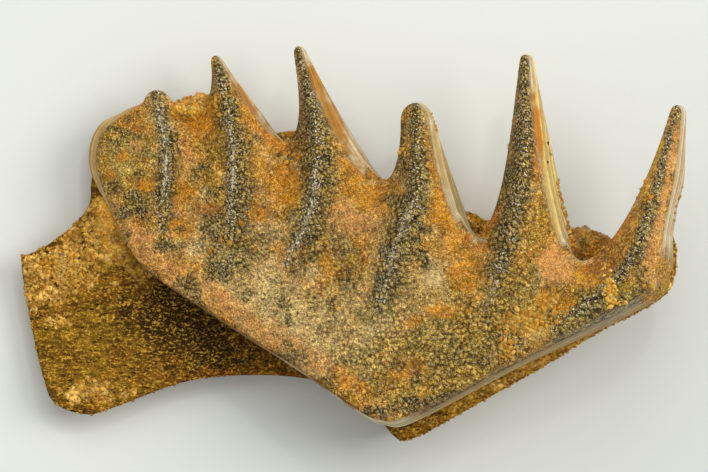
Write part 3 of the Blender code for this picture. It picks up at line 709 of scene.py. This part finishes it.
def stains(xy, named, base, drifts=()):
    """Each point's colour, the base with drifts and patches laid over it, and how plain the patches are."""
    colour = np.repeat(PALETTE[base][None], len(xy), axis=0)
    plain = np.zeros(len(xy))
    for name, size, seed, strength in drifts:
        mask = strength * ease(0.02, 0.35, waves(xy, size, 6, seed))
        colour = colour + mask[:, None] * (PALETTE[name] - colour)
    for name, x, y, width, height, turn, strength, *fade in named:
        mask = patch(xy, x, y, width, height, turn)
        colour = colour + (strength * mask)[:, None] * (PALETTE[name] - colour)
        plain = np.maximum(plain * (1.0 - mask), (fade[0] if fade else 0.0) * mask)
    return colour, plain


def strongest(xy, patches):
    """The strongest of some patches at each point."""
    return np.max([strength * patch(xy, *oval) for *oval, strength in patches], axis=0)


# What lies over the tan crown: colour, place, half size, turn, strength, and how far its dots fade, if any.
# Places and half sizes are in the photograph's pixels, across and then down, here and in the lists below.
CROWN_STAINS = (
    ("cream", 255, 290, 90, 30, -35, 0.6), ("cream", 330, 330, 75, 35, -25, 0.6),
    ("cream", 400, 300, 40, 60, 20, 0.4), ("olive", 470, 330, 130, 40, 25, 0.75),
    ("olive", 600, 300, 70, 20, 28, 0.6), ("olive", 430, 385, 70, 22, 20, 0.6),
    ("pink", 135, 238, 62, 13, -50, 0.85, 0.5), ("pink", 205, 292, 70, 14, -37, 0.75, 0.4),
    ("pink", 298, 352, 66, 14, -33, 0.6, 0.3), ("orange", 284, 180, 17, 22, 20, 0.9, 0.6),
    ("orange", 258, 213, 13, 10, 0, 0.85, 0.6), ("orange", 180, 195, 13, 16, 0, 0.85, 0.6),
    ("orange", 184, 228, 14, 11, 0, 0.9, 0.8), ("rust", 210, 210, 11, 8, 0, 0.8, 0.7),
    ("orange", 106, 160, 8, 7, 0, 0.8, 0.7), ("orange", 140, 125, 14, 8, -15, 0.7, 0.6),
    ("orange", 150, 181, 18, 10, 10, 0.7, 0.5), ("orange", 195, 115, 22, 22, 0, 0.8, 0.6),
    ("orange", 258, 125, 10, 40, 40, 0.7, 0.5), ("pink", 188, 165, 16, 14, 0, 0.5, 0.4),
    ("pink", 345, 218, 20, 18, 20, 0.85, 0.7), ("orange", 336, 262, 13, 16, 0, 0.6, 0.5),
    ("orange", 360, 180, 18, 24, 30, 0.75, 0.5), ("rust", 379, 190, 7, 22, 10, 0.7, 0.4),
    ("orange", 442, 195, 9, 50, 20, 0.85, 0.6), ("pink", 452, 240, 18, 13, 25, 0.7, 0.6),
    ("orange", 464, 266, 15, 29, 8, 0.95, 0.85), ("orange", 442, 311, 16, 9, 0, 0.85, 0.8),
    ("orange", 414, 323, 10, 7, 0, 0.85, 0.7), ("cream", 434, 277, 13, 11, 0, 0.7, 0.6),
    ("orange", 532, 150, 4, 44, 8, 0.9, 0.6), ("flank", 511, 160, 6, 56, -9, 0.9, 0.3),
    ("flank", 404, 160, 6, 46, 5, 0.9, 0.3), ("flank", 303, 118, 5, 44, 0, 0.9, 0.3),
    ("flank", 214, 100, 4, 30, 3, 0.8, 0.3), ("yellow", 640, 186, 8, 52, -26, 0.95, 0.7),
    ("flank", 494, 215, 9, 24, -30, 0.8, 0.1), ("amber", 282, 150, 22, 12, -35, 0.8, 0.7),
    ("amber", 252, 150, 12, 34, 25, 0.7, 0.5), ("amber", 350, 168, 16, 26, 40, 0.8, 0.6),
    ("amber", 374, 200, 20, 14, 0, 0.7, 0.6), ("amber", 395, 196, 9, 30, -20, 0.7, 0.5),
    ("amber", 450, 226, 12, 40, 24, 0.8, 0.6), ("amber", 478, 262, 20, 26, 0, 0.75, 0.6),
    ("amber", 498, 240, 8, 26, -32, 0.8, 0.6), ("amber", 592, 268, 30, 14, 38, 0.75, 0.6),
    ("sulphur", 611, 284, 9, 24, -8, 0.95, 0.7), ("sulphur", 604, 262, 5, 16, -10, 0.7, 0.6),
    ("burnt", 457, 210, 5, 38, 22, 0.8, 0.7), ("burnt", 497, 216, 5, 30, -28, 0.8, 0.7),
    ("burnt", 480, 248, 14, 8, 0, 0.6, 0.6), ("burnt", 272, 140, 6, 28, 48, 0.6, 0.6),
    ("burnt", 293, 150, 10, 9, 0, 0.6, 0.6), ("burnt", 618, 232, 5, 30, -38, 0.6, 0.5),
    ("shell", 578, 259, 26, 4, -5, 0.5, 0.6), ("shell", 477, 240, 9, 3, 0, 0.55, 0.6),
    ("sand", 376, 182, 14, 3, 0, 0.5, 0.4), ("olive", 118, 162, 36, 50, 0, 0.62),
    ("orange", 125, 156, 8, 6, 20, 0.8, 0.7), ("orange", 143, 183, 10, 7, -20, 0.8, 0.7),
    ("orange", 109, 176, 6, 9, 0, 0.7, 0.5), ("pink", 137, 144, 9, 5, 0, 0.7, 0.4),
    ("rust", 134, 128, 9, 6, -10, 0.7, 0.5), ("pink", 113, 203, 7, 10, -20, 0.7, 0.6),
    ("olive", 610, 300, 40, 16, 28, 0.5), ("pink", 555, 264, 22, 21, 20, 0.95, 0.85),
    ("orange", 556, 298, 18, 12, 0, 0.9, 0.8), ("yellow", 530, 325, 28, 14, -20, 0.7, 0.6),
    ("rust", 606, 262, 20, 18, -30, 0.85, 0.6), ("pink", 664, 188, 5, 64, -10, 0.95, 0.8),
    ("pink", 646, 262, 10, 30, -12, 0.8, 0.6), ("orange", 628, 268, 10, 22, -10, 0.5, 0.3),
    ("orange", 404, 372, 24, 15, 0, 0.75, 0.5), ("orange", 348, 380, 18, 9, -30, 0.6, 0.4),
    ("rust", 405, 408, 50, 7, 8, 0.7, 0.1), ("umber", 411, 222, 12, 38, 12, 0.5),
    ("umber", 307, 160, 6, 40, 0, 0.6), ("amber", 325, 168, 6, 34, -6, 0.5, 0.3),
    ("umber", 594, 304, 30, 12, -28, 0.5), ("umber", 236, 232, 10, 24, 8, 0.4),
)
# Colours that drift over the whole crown: size in millimetres, seed, strength.
CROWN_DRIFT = (
    ("orange", 2.4, 21.0, 0.8), ("pink", 3.0, 33.0, 0.7), ("cream", 2.0, 45.0, 0.6),
    ("rust", 1.2, 57.0, 0.4), ("olive", 0.8, 63.0, 0.45),
)
# Darker patches away from the crests: place, half size, turn, strength.
DARK_PATCHES = (
    (112, 129, 14, 7, -25, 0.6), (139, 210, 17, 15, -30, 0.85), (164, 205, 8, 36, 0, 0.7),
    (201, 167, 8, 8, 0, 0.8), (214, 227, 18, 22, 25, 0.7), (168, 243, 12, 10, 0, 0.85),
    (228, 268, 20, 13, 0, 0.75), (190, 287, 15, 8, 0, 0.75), (110, 190, 12, 12, 0, 0.5),
    (340, 255, 12, 40, 15, 0.45), (600, 315, 60, 12, 28, 0.5), (410, 404, 52, 8, 8, 0.75),
    (392, 366, 10, 7, 0, 0.7), (418, 378, 8, 6, 0, 0.7), (470, 352, 50, 18, 22, 0.35),
    (253, 240, 16, 24, 20, 0.4), (640, 275, 8, 18, 0, 0.6), (586, 304, 24, 12, 28, 0.85),
    (408, 222, 13, 36, 12, 0.75), (238, 232, 11, 26, 8, 0.5), (400, 160, 8, 30, 0, 0.5),
)
# Each ridge's dark band: how far it reaches to the crest's left and right, where it ends and its strength.
# Then where its pale line starts and ends, and that line's strength; the line is partly wear and partly
# painted highlight.
BANDS = (
    (0.3, 0.45, 0.7, 1.0, 0.0, 1.0, 0.1), (0.8, 0.6, 0.95, 0.9, 0.7, 0.97, 0.3),
    (0.6, 0.85, 1.0, 0.95, 0.35, 0.9, 0.5), (0.45, 0.95, 1.0, 0.95, 0.45, 1.0, 1.0),
    (0.3, 0.85, 1.0, 0.95, 0.25, 0.85, 0.6), (0.4, 0.6, 1.0, 0.85, 0.05, 0.8, 0.8),
)
# What lies over the shell-coloured wall, and the corner that sandstone covers.
WALL_STAINS = (
    ("heel", 90, 160, 18, 66, 0, 0.95), ("heel", 112, 120, 40, 20, 30, 0.8),
    ("amber", 150, 98, 30, 14, 0, 0.8), ("wheat", 548, 160, 12, 90, 8, 0.95),
    ("orange", 537, 128, 4, 34, 8, 1.0), ("blush", 341, 112, 16, 64, 27, 0.9),
    ("ochre", 327, 110, 9, 60, 26, 0.95), ("blush", 258, 105, 12, 60, 42, 0.8),
    ("ochre", 240, 97, 8, 44, 40, 0.9), ("sand", 448, 165, 10, 60, 20, 0.85),
    ("pink", 678, 180, 8, 60, -6, 0.35), ("brown", 250, 350, 160, 22, -36, 0.8),
    ("moss", 664, 284, 16, 28, 8, 0.95),
)
CORNER = (664, 284, 16, 28, 8)


def crest_marks(xy):
    """How dark the bands along the crests are, how strong their pale lines, partly wear and partly painted
    highlight, and how far to a crest's side.
    """
    dark, line = np.zeros(len(xy)), np.zeros(len(xy))
    across = np.full(len(xy), 2.0)
    patchy = waves(xy, 1.1, 4, 9.0)
    jitter = xy + 0.12 * np.column_stack([waves(xy, 0.4, 2, 31.0), waves(xy, 0.4, 2, 47.0)])
    for crest, (left, right, end, strength, line_start, line_end, wear_and_highlight) in zip(CRESTS, BANDS):
        apart, share, way = line_distance(jitter, crest)
        reach = np.where(way > 0, right, left) * (0.4 + 0.8 * ease(0.0, 0.5, share))
        band = np.exp(-((apart / reach) ** 2)) * (1.0 - ease(end - 0.25, end, share))
        dark = np.maximum(dark, np.clip(strength * band * (1.2 + 0.7 * patchy), 0.0, 1.0))
        # where each crest's pale line, partly wear and partly painted highlight, runs
        window = ease(line_start, line_start + 0.1, share) * (1.0 - ease(line_end - 0.1, line_end, share))
        apart, _, way = line_distance(xy, crest)
        line = np.where(apart < 0.7, wear_and_highlight * window, line)
        across = np.where(apart < np.abs(across), apart * np.where(way > 0, 1.0, -1.0), across)
    return dark, line, across


def crown_marks(xy):
    """The values that steer the biting face's material: dark, dots, line, across and small."""
    dark, line, across = crest_marks(xy)
    dark = np.maximum(dark, strongest(xy, DARK_PATCHES))
    drift = ease(0.12, 0.4, waves(xy, 1.4, 6, 3.0)) * (0.3 + 0.35 * ease(1.0, -3.0, xy[:, 0]))
    dark = np.clip(np.maximum(0.04 + 1.1 * dark, drift), 0.0, 1.0)
    dots = np.maximum(0.85 * ease(0.1, 0.6, dark), 0.85 * patch(xy, 450, 345, 150, 62, 12))
    dots = np.clip(np.maximum(dots, 0.4 + 0.25 * waves(xy, 1.5, 3, 8.0)), 0.0, 0.95)
    small = np.maximum(ease(1.0, 4.5, xy[:, 1]), ease(-1.5, -5.0, xy[:, 0]))
    return {"dark": dark, "dots": dots, "line": line, "across": across, "small": small}


def crown_wall(xy, front, low_and_ragged):
    """The walls' colour. The front's is lilac, and straw lower down."""
    wall = stains(xy, WALL_STAINS, "shell")[0]
    straw = ease(0.6, 0.8, low_and_ragged)[:, None]
    tint = PALETTE["lilac"] + straw * (PALETTE["straw"] - PALETTE["lilac"])
    return wall + (0.85 * front * (1.0 - patch(xy, *CORNER)))[:, None] * (tint - wall)


def crown():
    edge = evenly(CROWN_EDGE, CROWN_SPACING)
    for _ in range(2):
        edge = 0.25 * np.roll(edge, 1, axis=0) + 0.5 * edge + 0.25 * np.roll(edge, -1, axis=0)
    vertices, faces, depth = slab(edge, crown_top, crown_foot(edge), crown_floor, TOP_STEP, 0.8, CROWN_LEVELS)
    xy = vertices[:, :2]
    first = int(np.argmax(depth > 0.0))
    top = np.arange(len(xy)) < first
    low = np.where(top, 0.0, 1.0)  # how far down the wall
    crests = to_crests(xy)
    depth += np.where(top, crown_drop(xy, crests), 0.0)
    for start, share in zip(range(first, len(xy), len(edge)), (*CROWN_LEVELS, 1.0)):
        low[start : start + len(edge)] = share
        depth[start : start + len(edge)] += depth[: len(edge)]
    # the biting face's texture goes some way down the front wall
    front = ease(0.5, -1.0, xy[:, 1]) * ease(2.5, 4.5, xy[:, 0])
    ragged = low + 0.1 * waves(vertices, 1.2, 4, 71.0)
    side = np.where(top, ease(0.1, 0.6, bevel(xy, crests)), 1.0 - front * ease(0.5, 0.42, ragged))
    marks = crown_marks(xy)
    dark = marks["dark"]
    colour, plain = stains(xy, CROWN_STAINS, "tan", CROWN_DRIFT)
    plain = plain * (1.0 - dark)
    marks["dots"] *= 1.0 - 0.8 * plain
    rim = np.exp(-((edge_distance(xy, CROWN_EDGE) / 0.13) ** 2)) * ease(8.5, 4.0, np.abs(xy[:, 0] + 5.0))
    rim *= ease(3.5, 1.5, xy[:, 1])
    rim = np.maximum(rim, front * np.exp(-(((ragged - 0.4) / 0.1) ** 2)))
    colour = np.array((1.0, 0.965, 0.8)) * (colour + (0.75 * dark)[:, None] * (PALETTE["dark"] - colour))
    wall = crown_wall(xy, front, low + 0.25 * waves(vertices, 1.0, 4, 5.0))
    colour += side[:, None] * (wall - colour)
    rough = 0.06 * waves(xy, 1.3, 4, 1.0) + 0.035 * waves(xy, 0.35, 3, 2.0)
    vertices[:, 2] += np.where(top, rough, 0.0)
    nodes = ["crown_plate"] + [f"cusp_{k}" for k in range(1, 7)]
    marks.update(stain=colour, plain=plain, rim=rim, depth=depth, side=side)
    return make("crown", vertices, faces, crown_look(), "dentine", nodes, **marks)


# The jaw bone.

BONE_STAINS = (
    ("moss", 108, 235, 30, 40, -30, 0.8), ("golden", 60, 275, 50, 34, 20, 0.9),
    ("orange", 30, 275, 12, 22, 0, 0.8), ("moss", 85, 330, 60, 26, 0, 0.8),
    # The two umber patches beside the crown's lower-left edge are painted shadow: the shade the crown casts
    # on the process.
    ("moss", 95, 385, 52, 28, 0, 0.7), ("umber", 190, 328, 76, 46, -20, 0.95),
    ("umber", 178, 318, 34, 26, -30, 0.7), ("rust", 240, 378, 80, 10, 0, 0.7),
    ("golden", 560, 360, 140, 24, 28, 0.7),
)
# Where sandstone still clings to the bone: place, half size, turn, strength.
BONE_CRUST = (
    (66, 262, 54, 30, 25, 1.0), (42, 285, 28, 34, 0, 0.9), (104, 228, 34, 18, -55, 0.9),
    (96, 392, 40, 14, 0, 0.65), (140, 268, 26, 14, -30, 0.6), (480, 214, 14, 12, 0, 1.0),
    (560, 352, 130, 6, 28, 0.5), (290, 134, 12, 8, 0, 1.0), (672, 272, 16, 34, 10, 0.9),
)


def jaw_bone():
    edge = evenly(BONE_LOOP, BONE_SPACING)

    def seen(xy):
        return beyond_crown(xy) > -1.2

    foot = edge - BONE_TUCK * soft_outward(edge, 5)
    vertices, faces, _ = slab(edge, bone_top, foot, bone_under, 0.12, 0.45, BONE_LEVELS, seen)
    xy = vertices[:, :2]
    grooves = 0.06 * waves(vertices * (0.4, 1.0, 0.6), 0.4, 4, 1.0) + 0.07 * waves(vertices, 0.3, 3, 4.0)
    vertices[:, 2] += np.where(vertices[:, 2] > 0.4, grooves, 0.0)
    colour = stains(xy, BONE_STAINS, "brown")[0] * np.array((0.76, 0.68, 0.36))
    marks = {"stain": colour, "crust": strongest(xy, BONE_CRUST)}
    return make("jaw_bone_skin", vertices, faces, bone_look(), "bone", ["jaw_bone"], **marks)


# Sandstone.

GRAIN_SRGB = (
    (226, 168, 58), (216, 150, 42), (208, 140, 36), (226, 182, 84),
    (200, 154, 52), (190, 126, 34), (226, 178, 88),
)
GRAIN_TINTS = [linear(*srgb) for srgb in GRAIN_SRGB]
GRAIN_CUTS = 6


def grain_mesh():
    """A unit ball of 80 faces, as vertices and faces."""
    bpy.ops.mesh.primitive_ico_sphere_add(subdivisions=2, radius=1.0)
    ball = bpy.context.object
    vertices = np.array([v.co[:] for v in ball.data.vertices])
    faces = np.array([p.vertices[:] for p in ball.data.polygons])
    bpy.data.objects.remove(ball)
    return vertices, faces


def grains(name, places, radii, shades, look):
    """Many small rounded grains, joined into one piece."""
    ball, ball_faces = grain_mesh()
    all_vertices, tints = [], []
    for place, radius, shade in zip(places, radii, shades):
        squash = RNG.uniform(0.65, 1.3, 3)
        turn, _ = np.linalg.qr(RNG.normal(size=(3, 3)))
        heights = 0.82 * (0.9 + 0.2 * RNG.normal(size=GRAIN_CUTS))
        corners = RNG.normal(size=(GRAIN_CUTS, 3))
        corners /= lengths(corners)[:, None]
        shape = ball.copy()
        for corner, height in zip(corners, heights):
            shape -= np.clip(shape @ corner - height, 0.0, None)[:, None] * corner
        all_vertices.append(place + radius * (shape * squash) @ turn)
        tint = GRAIN_TINTS[RNG.integers(len(GRAIN_TINTS))] * RNG.uniform(0.82, 1.1) * shade
        tints.append(np.repeat(tint[None], len(ball), axis=0))
    faces = np.vstack([ball_faces + k * len(ball) for k in range(len(places))]).tolist()
    return make(name, np.vstack(all_vertices), faces, look, "sandstone", tint=np.vstack(tints))


def lump_top(xy, lump):
    """Height of a lump's surface, with no gap to crown or bone. The heel's banks up to the crown."""
    name, middle, radii, turn, height = lump[:5]
    base = bone_top(xy)
    share = lengths(turned(xy - middle, turn) / radii)
    dome = np.sqrt(np.clip(1.0 - (share / 1.15) ** 2, 0.0, 1.0))
    if name == "sandstone_heel":
        dome = dome**2 * np.exp(-((np.maximum(beyond_crown(xy), 0.0) / 1.3) ** 1.5))
        return base - 0.06 + dome * np.maximum(height - base, 0.3)
    return base + 0.2 + dome * np.maximum(height - base, 0.0)


def lump_skin(lump, look):
    """A lump's body: a rough mound that fills the space between the crown and the bone."""
    name, middle, radii, turn, _, seed, tint, _, _ = lump
    angles = np.linspace(0.0, 2 * math.pi, 90, endpoint=False)
    oval = np.column_stack([np.cos(angles), np.sin(angles)]) * radii * 1.1
    loop = middle + turned(oval, -turn)
    loop += outward(loop) * (0.18 * waves(loop, 0.5, 3, seed))[:, None]
    vertices, faces, _ = slab(
        loop, lambda xy: lump_top(xy, lump), loop, lambda xy: bone_top(xy) - 0.05, 0.1, 0.3, LUMP_LEVELS
    )
    rough = np.array([noise.cell_vector(Vector(v) / 0.28)[0] for v in vertices.tolist()])
    vertices += 0.07 * waves(vertices, 0.45, 4, seed)[:, None]
    shade = 0.85 + 0.45 * rough + 0.6 * waves(vertices, 0.6, 4, 2.0)
    tint = linear(*tint) * np.clip(shade, 0.25, 1.3)[:, None]
    return make(name + "_skin", vertices, faces, look, "sandstone", [name], tint=tint)


def on_lump(lump):
    """Places for grains over a lump, their radii and how bright they are."""
    _, middle, radii, turn, _, _, tint, count, grain = lump
    radius = RNG.uniform(*grain, count)
    angle = RNG.uniform(0.0, 2 * math.pi, count)
    reach = np.sqrt(RNG.uniform(0.0, 1.0, count)) * 1.04
    oval = np.column_stack([np.cos(angle), np.sin(angle)]) * reach[:, None] * radii
    xy = middle + turned(oval, -turn)
    shade = sum(tint) / 400.0 * np.clip(1.05 + 0.9 * waves(xy, 0.9, 3, 15.0), 0.4, 1.4)
    return np.column_stack([xy, lump_top(xy, lump) - 0.1 * radius]), radius, shade


# Loose patches of grains on the bone and on the crown: place, half size, turn, count, brightness.
BONE_PATCHES = (
    (72, 268, 46, 26, 20, 260, 1.05), (50, 285, 30, 34, 0, 80, 1.0), (132, 262, 16, 34, -35, 60, 0.85),
    (100, 232, 34, 16, -50, 90, 0.95), (95, 392, 36, 16, 0, 60, 0.9), (479, 213, 8, 5, 0, 50, 0.85),
    (290, 134, 5, 3, 0, 24, 1.0), (668, 275, 12, 26, 10, 90, 0.8), (560, 352, 110, 5, 28, 200, 0.75),
    (440, 425, 34, 8, 25, 60, 0.7),
)
CROWN_PATCHES = (
    (528, 322, 24, 12, -25, 150, 1.05), (507, 348, 9, 10, 0, 26, 1.0), (217, 173, 5, 6, 0, 9, 1.1),
    (217, 104, 3, 13, 0, 14, 1.0), (288, 157, 9, 6, 0, 12, 1.0), (200, 140, 8, 5, -40, 8, 1.0),
    (550, 303, 7, 7, 0, 12, 1.0), (609, 286, 6, 18, -8, 60, 1.35), (620, 304, 10, 6, 0, 16, 1.35),
    (650, 292, 8, 9, 0, 30, 0.9), (644, 188, 6, 16, -20, 30, 1.1), (404, 152, 4, 6, 0, 6, 1.0),
    (190, 265, 80, 6, -38, 30, 0.9),
)
# Grains on the bone's side, as below.
RIM_GRAINS = (
    (672, 262, 30, 130, 0.0, 0.6, 0.85), (650, 303, 26, 60, 0.0, 0.5, 0.75),
    (560, 352, 90, 170, 0.0, 0.4, 0.75), (440, 425, 44, 110, 0.0, 0.5, 0.7),
    (20, 262, 18, 26, 0.0, 0.5, 0.9), (30, 330, 50, 60, 0.0, 0.5, 0.8), (60, 235, 30, 60, 0.0, 0.4, 0.9),
    (80, 412, 30, 26, 0.0, 0.5, 0.8), (180, 382, 70, 50, 0.0, 0.4, 0.5),
)
# Grains on the crown's side: place along the edge, reach, count, between which shares of the side's height,
# and brightness. The last three rows are a few dark ones.
WALL_GRAINS = (
    (566, 205, 32, 90, 0.7, 1.0, 0.7), (437, 120, 9, 12, 0.6, 0.9, 0.9), (519, 120, 3, 3, 0.1, 0.5, 1.0),
    (518, 147, 3, 4, 0.1, 0.6, 1.0), (640, 192, 8, 10, 0.0, 0.5, 1.0), (664, 286, 26, 150, 0.1, 0.9, 0.8),
    (680, 200, 26, 10, 0.7, 1.0, 0.8), (553, 140, 1, 2, 0.55, 0.7, 0.03), (555, 151, 1, 2, 0.7, 0.85, 0.03),
    (553, 160, 1, 2, 0.2, 0.4, 0.03),
)


def on_patches():
    """Places, radii and brightness of the grains in each loose patch, none of them far under the crown."""
    for listed, loop, top, grain, reach in (
        (BONE_PATCHES, BONE_LOOP, bone_top, BONE_GRAIN, 0.6),
        (CROWN_PATCHES, CROWN_EDGE, crown_top, CROWN_GRAIN, math.inf),
    ):
        for x, y, width, height, turn, count, shade in listed:
            radius = RNG.uniform(*grain, count)
            spread = RNG.normal(size=(count, 2)) * 0.55 * np.array((width, height)) / PX_PER_MM
            xy = px(x, y) + turned(spread, math.radians(turn))
            kept = inside(xy, loop) & (edge_distance(xy, loop) > 0.05) & (beyond_crown(xy) >= -reach)
            xy, radius = xy[kept], radius[kept]
            yield np.column_stack([xy, top(xy) - 0.35 * radius]), radius, np.full(len(xy), shade)


def on_sides():
    """Places, radii and brightness of the grains on the crown's and the bone's sides."""
    edge, rim = evenly(CROWN_EDGE, SIDE_SPACING), evenly(BONE_LOOP, SIDE_SPACING)
    rim_foot = rim - BONE_TUCK * soft_outward(rim, 12)
    for loop, top, foot, under, listed in (
        (edge, crown_top(edge), crown_foot(edge), crown_floor(edge), WALL_GRAINS),
        (rim, bone_top(rim), rim_foot, bone_under(rim_foot), RIM_GRAINS),
    ):
        upper, lower = np.column_stack([loop, top]), np.column_stack([foot, under])
        for x, y, reach, count, low, high, shade in listed:
            nearest = np.argsort(lengths(loop - px(x, y)))
            at = RNG.choice(nearest[: max(2, round(2 * reach / PX_PER_MM / SIDE_SPACING))], count)
            share = RNG.uniform(low, high, count)[:, None]
            radius = RNG.uniform(*SIDE_GRAIN, count)
            yield upper[at] + share * (lower[at] - upper[at]), radius, np.full(count, shade)


def sandstone():
    look = grain_look()
    for lump in LUMPS:
        lump_skin(lump, look)
        grains(lump[0] + "_grains", *on_lump(lump), look)
    loose = zip(*on_patches(), *on_sides())
    grains("sand_grains", *(np.concatenate(column) for column in loose), look)


# The studio.


def area(name, place, power, size, colour):
    lamp = bpy.data.lights.new(name, "AREA")
    lamp.energy = power
    lamp.size = size
    lamp.color = colour
    added(name, lamp, place).rotation_euler = (-Vector(place)).to_track_quat("-Z", "Y").to_euler()


def studio():
    """A pale floor with painted shading, lighter at the upper left and darker at the lower right, a dim sky,
    and three lamps facing the middle.
    """
    look = Look("floor")
    x, y = (look.node("SeparateXYZ", {0: look.place}, k) for k in (0, 1))
    # painted shading: the floor's own colour darkens from the upper left to the lower right
    painted_shading = look.ramp(look.math("SUBTRACT", x, y), -0.012, 0.036)
    bpy.ops.mesh.primitive_plane_add(size=1.6, location=(0.0, 0.0, 0.0))
    floor = bpy.context.object
    floor.name = "floor"
    colour = look.mix(painted_shading, (240, 241, 234), (224, 226, 220))
    floor.data.materials.append(look.finish(colour, roughness=0.8, specular=0.2))

    world = bpy.data.worlds.new("studio")
    world.use_nodes = True
    background = world.node_tree.nodes["Background"]
    background.inputs["Color"].default_value = (0.95, 0.98, 1.0, 1.0)
    background.inputs["Strength"].default_value = 0.5
    bpy.context.scene.world = world

    area("key", (0.3, 0.1, 0.28), 0.84, 0.24, (1.0, 0.99, 0.96))
    area("overhead", (-0.02, 0.24, 0.38), 0.48, 0.3, (0.97, 0.99, 1.0))
    area("glint", (0.12, 0.26, 0.45), 0.16, 0.03, (1.0, 1.0, 0.98))


def camera():
    """Straight above the photograph's middle, with a lens that shows its width at a height of 6 mm."""
    data = bpy.data.cameras.new("camera")
    data.sensor_width = 36.0
    data.lens = data.sensor_width * (CAMERA_HEIGHT - 0.006) / (PHOTO_SIZE[0] / PX_PER_MM * MM)
    data.clip_start, data.clip_end = 0.01, 10.0
    middle = px(PHOTO_SIZE[0] / 2, PHOTO_SIZE[1] / 2) * MM
    bpy.context.scene.camera = added("camera", data, (*middle, CAMERA_HEIGHT))


bpy.context.scene.view_settings.view_transform = "Standard"
camera()
studio()
crown()
jaw_bone()
sandstone()
